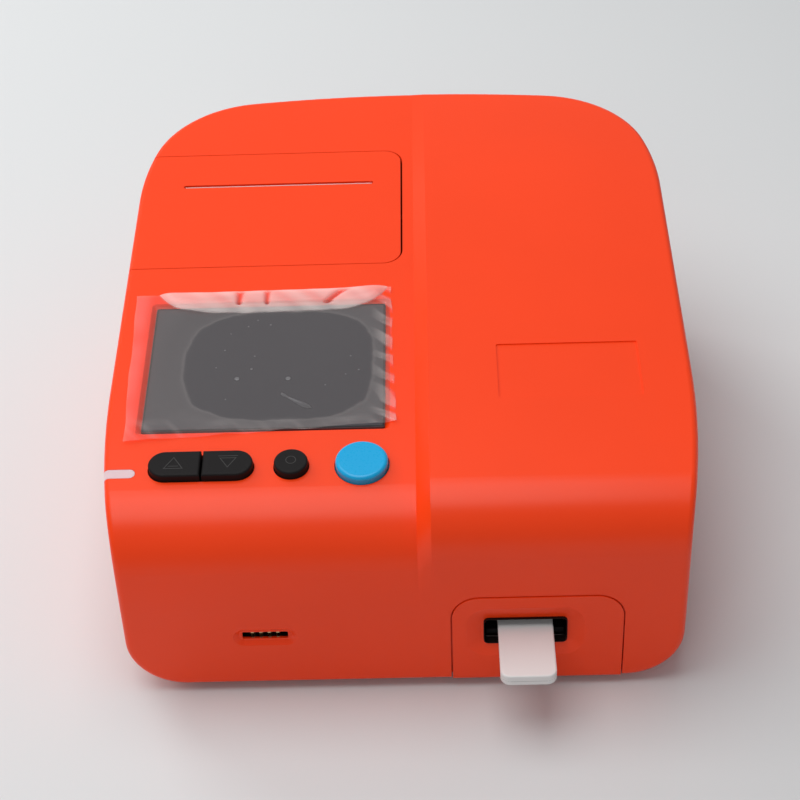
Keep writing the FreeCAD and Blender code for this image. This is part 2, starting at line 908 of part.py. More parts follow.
def make_paper_bay():
    """The bucket under the lid: a round pocket for the roll and a shelf for the printer."""
    low = roll_pocket_z - roll_pocket_radius - bay_wall
    body = from_front(bay_left, bay_right, bay_front, bay_back, low, 2 * big)
    flange_x = roll_guide / 2
    for v in (bay_front - bay_flange_width, bay_back - bay_wall):
        flange = box(paper_slot_x - flange_x, paper_slot_x + flange_x, v, v + bay_flange_width + bay_wall,
                     -bay_flange_depth - bay_wall, -bay_flange_depth)
        body = body.fuse(on_console(flange))
    body = body.common(roof_plane(wall + bay_rim_gap))
    guide = roll_guide / 2
    pocket = rod(roll_pocket_radius, Vector(paper_slot_x - guide, front_y + roll_y, roll_pocket_z), X_AXIS,
                 roll_guide)
    above = from_front(paper_slot_x - guide, paper_slot_x + guide, roll_y - roll_pocket_radius,
                       roll_y + roll_pocket_radius, roll_pocket_z, 2 * big)
    shelf = from_front(bay_left + bay_wall, bay_right - bay_wall, printer_front, bay_back - bay_wall,
                       printer_shelf_z, 2 * big)
    paper_way = from_front(paper_slot_x - guide, paper_slot_x + guide, roll_y, printer_front + 1,
                           paper_step_z, 2 * big)
    under = from_front(bay_left - 1, bay_right + 1, printer_front - bay_wall, bay_back + 1, 0,
                       printer_shelf_z - bay_wall)
    barrel_way = on_console(box(barrel_room_x, 0, 0, case_depth, -barrel_room, big))
    cuts = [pocket, above, shelf, paper_way, under, barrel_way]
    for x, v in bay_post_places():
        cuts.append(on_console(rod(screw_radius, Vector(x, v, -2 * bay_flange_depth), Z_AXIS, big)))
    return cut_all(body, cuts)


def make_bay_screws():
    made = []
    for x, v in bay_post_places():
        screw = make_screw(small_head_radius, screw_head_height, small_screw_radius, bay_screw_length)
        screw.translate(Vector(x, v, -bay_flange_depth - bay_wall - screw_head_height))
        made.append(screw)
    return on_console(Part.Compound(made))


def tube_x(outer_radius, inner_radius, x0, x1, v, z):
    start = Vector(x0, front_y + v, z)
    tube = rod(outer_radius, start, X_AXIS, x1 - x0)
    if inner_radius:
        tube = tube.cut(rod(inner_radius, start, X_AXIS, x1 - x0))
    return tube


def make_paper_roll():
    half = roll_width / 2
    return tube_x(roll_radius, roll_core_radius, paper_slot_x - half, paper_slot_x + half, roll_y, roll_z)


def make_paper_strip():
    """The free end of the paper, which stands between the print head and the platen under the slot."""
    y = platen_y - platen_radius - seat_gap - paper_thickness
    half = paper_width / 2
    strip = from_front(paper_slot_x - half, paper_slot_x + half, y, y + paper_thickness, paper_start_z, 2 * big)
    return strip.common(roof_plane(wall + paper_below_lid))


def make_printer_frame():
    """A bent plate with two cheeks, which carries the platen, the head and the motor."""
    base_top = printer_shelf_z + printer_plate - seat_gap
    base = from_front(printer_left, printer_right, printer_plate_front, printer_plate_back,
                      printer_shelf_z, base_top)
    left = from_front(printer_left - printer_plate, printer_left, printer_plate_front, printer_plate_back,
                      printer_shelf_z, platen_z + 2 * platen_radius - 4)
    right = from_front(printer_right, printer_right + printer_plate, printer_plate_front,
                       printer_plate_back, printer_shelf_z, platen_z + 2 * platen_radius - 4)
    frame = fuse([base, left, right])
    shaft_hole = tube_x(platen_shaft_radius + running_gap, 0, printer_left - 5, printer_right + 5,
                        platen_y, platen_z)
    motor_hole = tube_x(journal_radius, 0, printer_right - 1, printer_right + 5, platen_y, motor_z)
    return cut_all(frame, [shaft_hole, motor_hole])


def make_print_head():
    y = platen_y - platen_radius - 2 * seat_gap - paper_thickness
    half = head_length / 2
    head = from_front(paper_slot_x - half, paper_slot_x + half, y - head_thickness, y,
                      platen_z - head_height / 2, platen_z + head_height / 2)
    return head.makeChamfer(0.6, [e for e in head.Edges if e.BoundBox.ZMin > platen_z and
                                  e.BoundBox.YMin > front_y + y - 0.01])


def make_platen_roller():
    half = platen_length / 2
    return tube_x(platen_radius, platen_shaft_radius + 0.02, paper_slot_x - half, paper_slot_x + half,
                  platen_y, platen_z)


def make_platen_shaft():
    return tube_x(platen_shaft_radius, 0, printer_left - printer_plate - 1, gear_x + gear_width, platen_y,
                  platen_z)


def gear_outline(teeth, first_angle):
    """An involute gear outline about the origin, with one tooth at the first angle (degrees)."""
    pitch = gear_module * teeth / 2
    base = pitch * math.cos(math.radians(pressure_angle))
    outer = pitch + 0.9 * gear_module
    root = pitch - 1.2 * gear_module

    def spread(r):
        if r <= base:
            return 0.0
        a = math.acos(base / r)
        return math.tan(a) - a

    half = math.pi / (2 * teeth) - gear_backlash / (4 * pitch) + spread(pitch)
    radii = [root] + [max(base, root) + (outer - max(base, root)) * k / 3 for k in range(4)]
    points = []
    for k in range(teeth):
        middle = math.radians(first_angle) + 2 * math.pi * k / teeth
        for r in radii:
            points.append((r, middle - half + spread(r)))
        for r in reversed(radii):
            points.append((r, middle + half - spread(r)))
    made = [Vector(r * math.cos(a), r * math.sin(a), 0) for r, a in points]
    return Part.Face(Part.makePolygon(made + made[:1]))


def gear_at(teeth, first_angle, z, bore):
    """A gear whose axis runs along +X, drawn in the plane of depth and height."""
    gear = gear_outline(teeth, first_angle).extrude(Vector(0, 0, gear_width))
    if bore:
        gear = gear.cut(Part.makeCylinder(bore, gear_width))
    turn = Rotation(Y_AXIS, Z_AXIS, X_AXIS, "ZXY")
    return moved(gear, Placement(Vector(gear_x, front_y + platen_y, z), turn))


def make_platen_gear():
    return gear_at(platen_teeth, -90, platen_z, platen_shaft_radius + 0.02)


def make_motor_pinion():
    pinion = gear_at(motor_teeth, 90 + 180 / motor_teeth, motor_z, 0)
    shaft = tube_x(journal_radius - 0.5, 0, printer_right - 4, gear_x + 1, platen_y, motor_z)
    return pinion.fuse(shaft).removeSplitter()


def make_printer_motor():
    body = tube_x(printer_motor_radius, 0, printer_right - printer_motor_length, printer_right, platen_y,
                  motor_z)
    return body.cut(tube_x(journal_radius - 0.5 + running_gap, 0, printer_right - 5, printer_right + 1,
                           platen_y, motor_z))


def make_slot_panel():
    """The panel round the test slot: rounded top, a shallow dish, the slot and its throat."""
    back = wall + thread_gap + panel_flange_thickness
    low = case_bottom - 0.4
    body = panel_plate(-panel_gap, panel_proud + back, low, -panel_proud)
    lower_edge = [e for e in body.Edges if e.BoundBox.ZMax < low + 0.01
                  and e.BoundBox.YMax < front_y - panel_proud + 0.01]
    body = body.makeFillet(edge_radius, lower_edge)
    flange_low = inner_floor + inner_edge_radius
    flange = panel_plate(panel_flange, panel_flange_thickness, flange_low, wall + thread_gap)
    throat = front_plate(slot_width + 2 * throat_wall, slot_height + 2 * throat_wall,
                         slot_corner + throat_wall, back + throat_depth, slot_x, slot_z, 0.5)
    panel = fuse([body, flange, throat])
    dish_outer = (dish_width, dish_height, dish_height / 3)
    dish_inner = (slot_width + 2, slot_height + 2, slot_corner + 1)
    dish = front_loft(dish_outer, dish_inner, slot_x, slot_z, -panel_proud - 0.01, dish_depth)
    mouth = front_plate(slot_width, slot_height, slot_corner, big, slot_x, slot_z, -5)
    return cut_all(panel, [dish, mouth])


def port_cavity():
    return front_plate(port_mouth_length, port_mouth_height, 0.5, port_body_depth - 2, port_x, port_z,
                       wall + thread_gap)


def make_id_port_shell():
    body = front_plate(port_mouth_length + 2 * port_rim, port_mouth_height + 2 * port_rim, 1.0,
                       port_body_depth, port_x, port_z, wall + thread_gap)
    return body.cut(port_cavity())


def make_id_port_contacts():
    """Two facing rows of gold leaf contacts inside the chip port."""
    made = []
    start = port_x - contact_pitch * (contact_columns - 1) / 2
    for k in range(contact_columns):
        x = start + k * contact_pitch
        for side in (-1, 1):
            edge = port_z + side * port_mouth_height / 2
            low = edge if side < 0 else edge - contact_thickness
            made.append(from_front(x - contact_width / 2, x + contact_width / 2, wall + 1,
                                   wall + 1 + contact_length, low, low + contact_thickness))
    return Part.Compound(made)


def make_base_tray():
    """The tray that closes the underside, with foot pads, posts, screw holes and vents."""
    plate = plan_prism(return_width + base_gap, case_bottom, case_bottom + rebate_depth)
    deck = plan_prism(return_width + ledge_width + base_gap, case_bottom, deck_z)
    hollow = plan_prism(return_width + ledge_width + base_gap + wall, case_bottom - 1, deck_z - wall)
    tray = plate.fuse(deck).cut(hollow)
    adds = [post(foot_radius + 2, x, v, case_bottom, deck_z) for x, v in foot_places()]
    adds += [post(post_radius, x, v, deck_z - 1, board_z) for x, v in board_post_places()]
    tray = fuse([tray] + adds)
    cuts = [post(foot_radius + seat_gap, x, v, 0, case_bottom + foot_sink) for x, v in foot_places()]
    for x, v in base_screw_places():
        cuts.append(post(screw_radius + 0.2, x, v, 0, deck_z))
        cuts.append(post(screw_head_radius + 0.3, x, v, 0, case_bottom + screw_head_height))
    for x, v in board_post_places():
        cuts.append(post(small_screw_radius + thread_gap, x, v, deck_z - 1, board_z + 1))
    vents_x = -half_width / 3
    for k in range(vent_count):
        x = vents_x + (k - (vent_count - 1) / 2) * vent_pitch
        middle = case_depth * 0.4
        slot = stadium(middle - vent_length / 2, middle + vent_length / 2, 0, vent_width)
        slot = prism(slot, 0, 2 * deck_z)
        cuts.append(moved(slot, Placement(Vector(x, front_y, 0), Rotation(Z_AXIS, 90))))
    return cut_all(tray, cuts)


def make_rubber_feet():
    made = []
    for x, v in foot_places():
        foot = post(foot_radius, x, v, 0, case_bottom + foot_sink)
        made.append(foot.makeFillet(foot_edge, [e for e in foot.Edges if e.BoundBox.ZMax < 0.01]))
    return Part.Compound(made)


def make_base_screws():
    made = []
    for x, v in base_screw_places():
        screw = make_screw(screw_head_radius, screw_head_height, screw_radius, base_screw_length)
        screw.translate(Vector(x, front_y + v, case_bottom))
        made.append(screw)
    return Part.Compound(made)


def make_main_board():
    half = board_width / 2
    board = from_front(board_x - half, board_x + half, board_front, board_back, board_z,
                       board_z + board_thickness)
    return cut_all(board, [post(screw_radius, x, v, 0, 2 * board_z) for x, v in board_post_places()])


def make_board_screws():
    made = []
    for x, v in board_post_places():
        screw = make_screw(small_head_radius, screw_head_height, small_screw_radius, board_screw_length)
        place = Vector(x, front_y + v, board_z + board_thickness + screw_head_height)
        made.append(moved(screw, Placement(place, Rotation(X_AXIS, 180))))
    return Part.Compound(made)


def make_board_chips():
    """The processor, memory and driver packages soldered to the main board."""
    made = []
    for across, behind, size, height in chip_places:
        x, v, half = board_x + across, board_front + behind, size / 2
        made.append(from_front(x - half, x + half, v - half, v + half, board_top, board_top + height))
    return Part.Compound(made)


def make_buzzer():
    x, v = board_x - buzzer_across, board_front + buzzer_behind
    top = board_top + buzzer_height
    body = post(buzzer_radius, x, v, board_top, top)
    body = body.makeFillet(buzzer_edge, [e for e in body.Edges if e.BoundBox.ZMin > top - 1])
    return body.cut(post(buzzer_hole_radius, x, v, top - buzzer_hole_depth, top + 1))


def make_tray_chassis():
    """The drawer's chassis: a trough with bored end walls for the guide rods and the lead screw."""
    half = chassis_width / 2
    inner_half = half - chassis_wall
    body = from_front(slot_x - half, slot_x + half, chassis_front, chassis_back, deck_z, tongue_low + 4)
    room = from_front(slot_x - inner_half, slot_x + inner_half, chassis_front + chassis_end,
                      chassis_rear_wall, deck_z + chassis_floor, big)
    front_way = from_front(slot_x - inner_half, slot_x + inner_half, chassis_front - 1,
                           chassis_front + chassis_end + 1, tongue_low - 1, big)
    cuts = [room, front_way]
    for side in (-1, 1):
        cuts.append(rod_back(guide_radius + 0.02, slot_x + side * guide_span / 2, chassis_front - 1,
                             guide_z, chassis_length + 2))
    cuts.append(rod_back(journal_radius + running_gap, slot_x, chassis_front - 1, guide_z,
                         chassis_length + 2))
    for x, z in motor_screw_places():
        cuts.append(rod_back(motor_screw_radius + thread_gap, x, chassis_rear_wall - 1, z, chassis_end + 2))
    return cut_all(body, cuts)


def motor_screw_places():
    half = motor_screw_span / 2
    return [(slot_x + sx * half, guide_z + sz * half) for sx in (-1, 1) for sz in (-1, 1)]


def make_guide_rods():
    made = []
    for side in (-1, 1):
        made.append(rod_back(guide_radius, slot_x + side * guide_span / 2, chassis_front, guide_z,
                             chassis_length))
    return Part.Compound(made)


def make_carriage():
    """The sliding block with its long tongue, which carries the cassette out through the slot."""
    half = carriage_width / 2
    back = carriage_front + carriage_length
    block = from_front(slot_x - half, slot_x + half, carriage_front, back, guide_z - 5, cassette_bottom)
    tongue = from_front(slot_x - tongue_width / 2, slot_x + tongue_width / 2, tongue_front,
                        carriage_front + 1, tongue_low, cassette_bottom)
    parts = [block, tongue]
    inner_half = cassette_width / 2 + lip_gap
    cassette_end = cassette_length - cassette_reach
    for side in (-1, 1):
        x0 = slot_x + side * inner_half
        x1 = x0 + side * lip_width
        parts.append(from_front(min(x0, x1), max(x0, x1), 3 * tongue_front, cassette_end,
                                cassette_bottom - 0.5, cassette_bottom + lip_height))
    stop = from_front(slot_x - inner_half, slot_x + inner_half, cassette_end + lip_gap,
                      cassette_end + lip_gap + 2 * lip_width, cassette_bottom - 0.5, cassette_top)
    carriage = fuse(parts + [stop])
    cuts = []
    for side in (-1, 1):
        cuts.append(rod_back(guide_radius + running_gap, slot_x + side * guide_span / 2,
                             carriage_front - 1, guide_z, carriage_length + 2))
    cuts.append(rod_back(screw_shaft_radius + 0.6, slot_x, carriage_front - 1, guide_z, carriage_length + 2))
    cuts.append(rod_back(nut_radius + 0.05, slot_x, back - nut_length, guide_z, nut_length + 1))
    return cut_all(carriage, cuts)


def make_screw_nut():
    back = carriage_front + carriage_length
    body = rod_back(nut_radius, slot_x, back - nut_length + 1, guide_z, nut_length - 1)
    flange = rod_back(nut_flange_radius, slot_x, back, guide_z, nut_flange_thickness)
    bore = rod_back(screw_shaft_radius + running_gap, slot_x, carriage_front, guide_z, chassis_length)
    return fuse([body, flange]).cut(bore)


def make_lead_screw():
    middle_start = chassis_front + chassis_end + seat_gap
    middle_end = chassis_rear_wall - seat_gap
    thread = rod_back(screw_shaft_radius, slot_x, middle_start, guide_z, middle_end - middle_start)
    journal = rod_back(journal_radius, slot_x, chassis_front, guide_z, chassis_length + 6)
    return fuse([thread, journal])


def make_tray_motor():
    half = motor_size / 2
    body = from_front(slot_x - half, slot_x + half, chassis_back, chassis_back + motor_length,
                      guide_z - half, guide_z + half)
    body = body.makeChamfer(2.0, [e for e in body.Edges if e.BoundBox.YLength > motor_length - 1])
    cuts = [rod_back(journal_radius + running_gap, slot_x, chassis_back - 1, guide_z, 8.0)]
    for x, z in motor_screw_places():
        cuts.append(rod_back(motor_screw_radius + thread_gap, x, chassis_back - 1, z, motor_screw_length))
    return cut_all(body, cuts)


def make_motor_screws():
    made = []
    for x, z in motor_screw_places():
        screw = make_screw(motor_screw_head_radius, motor_screw_head, motor_screw_radius, motor_screw_length)
        place = Vector(x, front_y + chassis_rear_wall - motor_screw_head, z)
        made.append(moved(screw, Placement(place, Rotation(X_AXIS, -90))))
    return Part.Compound(made)


def cassette_body():
    """The whole cassette outline: a flat bar with rounded ends and softened edges."""
    plate = rounded_plate(cassette_width, cassette_length, cassette_corner, cassette_thickness)
    rims = [e for e in plate.Edges if e.BoundBox.ZLength < 0.01]
    plate = plate.makeFillet(cassette_rim, rims)
    middle = front_y - cassette_reach + cassette_length / 2
    plate.translate(Vector(slot_x, middle, cassette_bottom))
    return plate


def make_cassette_base():
    level = cassette_bottom + cassette_split
    return cassette_body().common(box(-big, big, -big, big, 0, level))


def make_cassette_top():
    """The upper half, with the sample well and the reading window in the part inside the case."""
    level = cassette_bottom + cassette_split
    top = cassette_body().common(box(-big, big, -big, big, level, big))
    end = cassette_length - cassette_reach
    well = post(well_radius, slot_x, end - well_behind, level + cassette_skin, big)
    half, back = result_width / 2, end - result_behind
    window = from_front(slot_x - half, slot_x + half, back - result_length, back, level + cassette_skin, big)
    return cut_all(top, [well, window])


def make_optics_bracket():
    """A bent plate that straddles the chassis and carries the optics over the cassette's path."""
    inner = chassis_width / 2 + seat_gap
    outer = inner + optics_plate
    v0, v1 = optics_v - optics_depth / 2, optics_v + optics_depth / 2
    left = from_front(slot_x - outer, slot_x - inner, v0, v1, deck_z, optics_plate_z)
    right = from_front(slot_x + inner, slot_x + outer, v0, v1, deck_z, optics_plate_z)
    top = from_front(slot_x - outer, slot_x + outer, v0, v1, optics_plate_z, optics_plate_z + optics_plate)
    bracket = fuse([left, right, top])
    return bracket.cut(post(barrel_radius + seat_gap, slot_x, optics_v, 0, big))


def make_optics_housing():
    """The reading head: a block with the lens barrel under it and a stepped light channel."""
    top = optics_plate_z + optics_plate
    half = optics_width / 2
    body = from_front(slot_x - half, slot_x + half, optics_v - half + 2, optics_v + half - 2, top,
                      top + optics_height)
    body = body.makeFillet(2.0, [e for e in body.Edges if e.BoundBox.ZLength > optics_height - 1])
    barrel = post(barrel_radius, slot_x, optics_v, barrel_bottom, top + 1)
    channel = post(lens_radius, slot_x, optics_v, barrel_bottom - 1, barrel_bottom + 4)
    shaft = post(lens_radius - 1.5, slot_x, optics_v, barrel_bottom, top + optics_height / 2)
    return cut_all(fuse([body, barrel]), [channel, shaft])


def make_optics_lens():
    disc_shape = post(lens_radius - 0.02, slot_x, optics_v, barrel_bottom + 0.5, barrel_bottom + 4)
    return disc_shape.makeFillet(0.5, [e for e in disc_shape.Edges if e.BoundBox.ZMax < barrel_bottom + 1])


def make_optics_board():
    top = optics_plate_z + optics_plate + optics_height
    half = optics_width / 2 - 1
    return from_front(slot_x - half, slot_x + half, optics_v - half + 2, optics_v + half - 2, top,
                      top + board_thickness)


def rear_openings():
    """Holes in the rear pocket for the sockets and the rocker, each larger by the socket gap."""
    g = socket_gap
    low, deep = case_depth - 12, case_depth + 2
    cuts = [from_front(jack_x - jack_size / 2 - g, jack_x + jack_size / 2 + g, low, deep, board_top - g,
                       board_top + jack_size + g)]
    cuts.append(from_front(usb_x - usb_width / 2 - g, usb_x + usb_width / 2 + g, low, deep, board_top - g,
                           board_top + usb_height + g))
    cuts.append(serial_d(g, low, deep))
    for side in (-1, 1):
        cuts.append(rod_back(screw_radius + thread_gap, serial_x + side * serial_screw_span / 2, low,
                             serial_z, 14))
    cuts.append(from_front(rocker_x - rocker_width / 2 - g, rocker_x + rocker_width / 2 + g, low, deep,
                           rocker_z - rocker_height / 2 - g, rocker_z + rocker_height / 2 + g))
    return cuts


def serial_d(grow, v0, v1):
    """The D outline of the serial socket, wider at the top, between two depths."""
    top, bottom, half = serial_mouth_top + grow, serial_mouth_bottom + grow, serial_mouth_half + grow
    points = [Vector(-bottom, -half), Vector(bottom, -half), Vector(top, half), Vector(-top, half)]
    face = Part.Face(Part.makePolygon(points + points[:1]))
    body = face.extrude(Vector(0, 0, v1 - v0))
    upright = [e for e in body.Edges if e.BoundBox.ZLength > v1 - v0 - 0.01]
    return on_front(body.makeFillet(serial_mouth_corner, upright), serial_x, serial_z, v0)


def make_serial_socket():
    flange_back = rear_face - rear_pocket_wall - thread_gap
    half_x, half_z = serial_width / 2, serial_height / 2
    flange = from_front(serial_x - half_x, serial_x + half_x, flange_back - serial_flange, flange_back,
                        serial_z - half_z, serial_z + half_z)
    body_x = half_x - serial_body_inset
    body = from_front(serial_x - body_x, serial_x + body_x, flange_back - serial_depth, flange_back,
                      board_top, serial_z + half_z)
    shell = serial_d(0, flange_back - serial_flange, rear_face + socket_proud)
    socket = fuse([flange, body, shell])
    cuts = []
    for row, count in ((1, serial_pins), (-1, serial_pins - 1)):
        for k in range(count):
            x = serial_x + (k - (count - 1) / 2) * serial_pitch
            cuts.append(rod_back(serial_hole_radius, x, rear_face - 4, serial_z + row * serial_row_offset, 6))
    for side in (-1, 1):
        cuts.append(rod_back(screw_radius + thread_gap, serial_x + side * serial_screw_span / 2,
                             flange_back - 2, serial_z, 14))
    return cut_all(socket, cuts)


def make_serial_jack_screws():
    """The two hexagonal jack screws beside the serial socket."""
    made = []
    for side in (-1, 1):
        x = serial_x + side * serial_screw_span / 2
        corners = [math.pi * k / 3 for k in range(6)]
        points = [Vector(math.cos(a), math.sin(a)) * jack_screw_corner for a in corners]
        head = Part.Face(Part.makePolygon(points + points[:1])).extrude(Vector(0, 0, jack_screw_head))
        head = on_front(head, x, serial_z, rear_face)
        shank = rod_back(screw_radius, x, rear_face - jack_screw_shank, serial_z, jack_screw_shank + 0.5)
        bore = rod_back(jack_screw_bore, x, rear_face - jack_screw_head, serial_z, 2 * jack_screw_head + 1)
        made.append(fuse([head, shank]).cut(bore))
    return Part.Compound(made)


def make_dc_jack():
    front = rear_face + socket_proud
    half = jack_size / 2
    body = from_front(jack_x - half, jack_x + half, front - jack_depth, front, board_top,
                      board_top + jack_size)
    z = board_top + half
    body = body.cut(rod_back(jack_bore_radius, jack_x, front - jack_depth + 3, z, jack_depth))
    pin = rod_back(jack_pin_radius, jack_x, front - jack_depth + 2, z, jack_depth - 3)
    return fuse([body, pin])


def make_usb_socket():
    front = rear_face + socket_proud
    half = usb_width / 2
    body = from_front(usb_x - half, usb_x + half, front - usb_depth, front, board_top, board_top + usb_height)
    s = usb_shell
    hollow = from_front(usb_x - half + s, usb_x + half - s, front - usb_depth + 3, front + 1, board_top + s,
                        board_top + usb_height - s)
    z = board_top + usb_height - s
    tongue = from_front(usb_x - half + 1, usb_x + half - 1, front - usb_depth + 2, front - 1.2,
                        z - usb_tongue_thickness - 0.6, z - 0.6)
    return fuse([body.cut(hollow), tongue])


def make_power_switch_frame():
    """The rocker's frame: a flanged box that clips into the back, with bores for the rocker's pins."""
    half_x, half_z = rocker_width / 2, rocker_height / 2
    body = from_front(rocker_x - half_x, rocker_x + half_x, rear_face - rocker_depth, rear_face + 0.5,
                      rocker_z - half_z, rocker_z + half_z)
    rim = front_plate(rocker_width + 2, rocker_height + 2, 1.0, 1.0, rocker_x, rocker_z, rear_face)
    frame = fuse([body, rim])
    hole_x, hole_z = half_x - rocker_frame, half_z - rocker_frame
    cavity = from_front(rocker_x - hole_x, rocker_x + hole_x, rear_face - rocker_depth + 3, rear_face + 2,
                        rocker_z - hole_z, rocker_z + hole_z)
    pin_hole = tube_x(rocker_pin_radius + running_gap, 0, rocker_x - half_x - 1, rocker_x + half_x + 1,
                      rocker_v, rocker_z)
    return cut_all(frame, [cavity, pin_hole])


def make_power_rocker():
    """The rocker, dished along its middle, tipped to its off position on its two pins."""
    half_z = rocker_height / 2 - rocker_frame - 1.0
    outline = [(-1.6, 0), (0, -half_z), (rocker_reach, -half_z), (rocker_reach - rocker_dip, 0),
               (rocker_reach, half_z), (0, half_z)]
    half_x = rocker_width / 2 - rocker_frame - rocker_gap
    points = [Vector(rocker_x - half_x, front_y + rocker_v + y, rocker_z + z) for y, z in outline]
    body = Part.Face(Part.makePolygon(points + points[:1])).extrude(Vector(2 * half_x, 0, 0))
    pins = tube_x(rocker_pin_radius, 0, rocker_x - rocker_width / 2 + seat_gap,
                  rocker_x + rocker_width / 2 - seat_gap, rocker_v, rocker_z)
    rocker = fuse([body, pins])
    rocker.rotate(Vector(0, front_y + rocker_v, rocker_z), X_AXIS, -rocker_throw / 2)
    return rocker


outer_form = case_form(0.0, case_bottom, under_radius, edge_radius)
inner_form = case_form(wall, inner_floor, under_radius - floor_wall, inner_edge_radius)
case_shell = outer_form.cut(inner_form)

pair_face, select_face, start_face = key_faces()
key_stems = switch_places()

PARTS = {
    "upper_cover": make_upper_cover,
    "base_tray": make_base_tray,
    "rubber_feet": make_rubber_feet,
    "base_screws": make_base_screws,
    "slot_panel": make_slot_panel,
    "screen_window": make_screen_window,
    "lcd_module": make_lcd_module,
    "screen_film": make_screen_film,
    "status_light_pipe": make_status_light_pipe,
    "up_key": lambda: make_key(pair_face, key_stems[0], -1),
    "down_key": lambda: make_key(pair_face, key_stems[1], 1),
    "select_key": lambda: make_key(select_face, key_stems[2]),
    "start_key": lambda: make_key(start_face, key_stems[3], 0, start_edge_radius),
    "key_board": make_key_board,
    "key_board_screws": make_key_board_screws,
    "tact_switches": make_tact_switches,
    "id_port_shell": make_id_port_shell,
    "id_port_contacts": make_id_port_contacts,
    "printer_lid": make_printer_lid,
    "lid_hinge_pin": make_lid_hinge_pin,
    "paper_bay": make_paper_bay,
    "bay_screws": make_bay_screws,
    "paper_roll": make_paper_roll,
    "paper_strip": make_paper_strip,
    "printer_frame": make_printer_frame,
    "print_head": make_print_head,
    "platen_roller": make_platen_roller,
    "platen_shaft": make_platen_shaft,
    "platen_gear": make_platen_gear,
    "motor_pinion": make_motor_pinion,
    "printer_motor": make_printer_motor,
    "tray_chassis": make_tray_chassis,
    "guide_rods": make_guide_rods,
    "carriage": make_carriage,
    "screw_nut": make_screw_nut,
    "lead_screw": make_lead_screw,
    "tray_motor": make_tray_motor,
    "motor_screws": make_motor_screws,
    "cassette_base": make_cassette_base,
    "cassette_top": make_cassette_top,
    "optics_bracket": make_optics_bracket,
    "optics_housing": make_optics_housing,
    "optics_lens": make_optics_lens,
    "optics_board": make_optics_board,
    "main_board": make_main_board,
    "board_screws": make_board_screws,
    "board_chips": make_board_chips,
    "buzzer": make_buzzer,
    "dc_jack": make_dc_jack,
    "usb_socket": make_usb_socket,
    "serial_socket": make_serial_socket,
    "serial_jack_screws": make_serial_jack_screws,
    "power_switch_frame": make_power_switch_frame,
    "power_rocker": make_power_rocker,
}

os.makedirs("parts", exist_ok=True)
for name, make in PARTS.items():
    solid = make()
    assert solid.isValid(), name
    solid.exportStep(f"parts/{name}.step")
    print(name, len(solid.Solids), round(solid.Volume / 1000, 2), "cm3")
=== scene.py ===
"""Looks of the bench progesterone analyzer: finishes, screen film, printed marks and fine fittings.

Laid out as an add-on and run as a script. All lengths in the code are millimetres in the part's own
frame unless a name says otherwise, and MM turns them into Blender's metres.
"""

import math

import bpy
from bpy.props import FloatProperty, FloatVectorProperty, IntProperty, PointerProperty
from mathutils import Matrix, Vector, noise


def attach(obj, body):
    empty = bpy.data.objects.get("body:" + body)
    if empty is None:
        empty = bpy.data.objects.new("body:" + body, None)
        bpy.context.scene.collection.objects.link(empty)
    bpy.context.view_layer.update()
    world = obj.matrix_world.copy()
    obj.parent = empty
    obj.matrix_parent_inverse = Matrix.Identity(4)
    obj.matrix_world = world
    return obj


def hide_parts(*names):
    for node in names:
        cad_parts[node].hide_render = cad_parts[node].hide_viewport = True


bl_info = {
    "name": "Bench analyzer finishes",
    "version": (1, 0, 0),
    "blender": (4, 5, 0),
    "location": "View3D > Sidebar > Analyzer",
    "description": "Dresses the analyzer's solids with their finishes, film, marks and fine fittings",
    "category": "Object",
}

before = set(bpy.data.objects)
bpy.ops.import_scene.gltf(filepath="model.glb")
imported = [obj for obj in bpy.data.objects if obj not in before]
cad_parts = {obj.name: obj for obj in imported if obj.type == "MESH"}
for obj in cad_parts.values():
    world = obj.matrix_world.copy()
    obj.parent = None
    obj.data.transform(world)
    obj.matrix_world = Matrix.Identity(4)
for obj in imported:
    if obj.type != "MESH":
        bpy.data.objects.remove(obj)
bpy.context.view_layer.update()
MM = 0.001

# Places that the solids also use
FRONT_Y = -129.3
CONSOLE_CORNER_Z = 84.1073
CONSOLE_SLOPE = math.radians(6.82)
WINDOW_LEVEL, WINDOW_FLOOR = -0.9, -2.49
SCREEN = (-55.6, 96.3, 99.4, 75.2)
KEY_TOP = 3.4
KEY_V = 36.9
UP_KEY_X, DOWN_KEY_X, SELECT_KEY_X = -89.6, -68.0, -43.0
SCREW_X, SCREW_Z = 48.6, 19.0
SCREW_RADIUS, JOURNAL_RADIUS = 2.5, 1.5
SCREW_START, SCREW_END = 38.3, 127.7
CHASSIS_FRONT, SCREW_TAIL = 34.0, 138.0
ROLL_X, ROLL_V, ROLL_Z = -56.1, 186.5, 79.2
SLOT_X, SLOT_Z = 48.6, 30.6
SLOT_WIDTH, SLOT_HEIGHT, SLOT_CORNER = 33.4, 13.2, 2.0
PORT_X, PORT_Z, CONTACT_PITCH, CONTACT_COLUMNS = -55.7, 30.2, 3.4, 4
PAPER_X = -56.1
CASSETTE_FRONT, CASSETTE_BACK, CASSETTE_SEAM = -156.7, -84.7, 30.6
CASSETTE_WIDTH = 22.0


def console(x, v, w):
    """A point on the sloping console top: x across, v up the slope from the front, w out of it."""
    s, c = math.sin(CONSOLE_SLOPE), math.cos(CONSOLE_SLOPE)
    return Vector((x, FRONT_Y + v * c - w * s, CONSOLE_CORNER_Z + v * s + w * c)) * MM


def upright(x, z, y):
    """A point given by x, height and y, for outlines that stand upright."""
    return Vector((x, y, z)) * MM


def row(x, v, z):
    """A point given by x, depth behind the front face and height."""
    return Vector((x, FRONT_Y + v, z)) * MM


def from_srgb(red, green, blue):
    """Scene-linear colour of an sRGB colour given in 0-255 steps."""
    def one(value):
        value /= 255
        return value / 12.92 if value <= 0.04045 else ((value + 0.055) / 1.055) ** 2.4
    return one(red), one(green), one(blue)


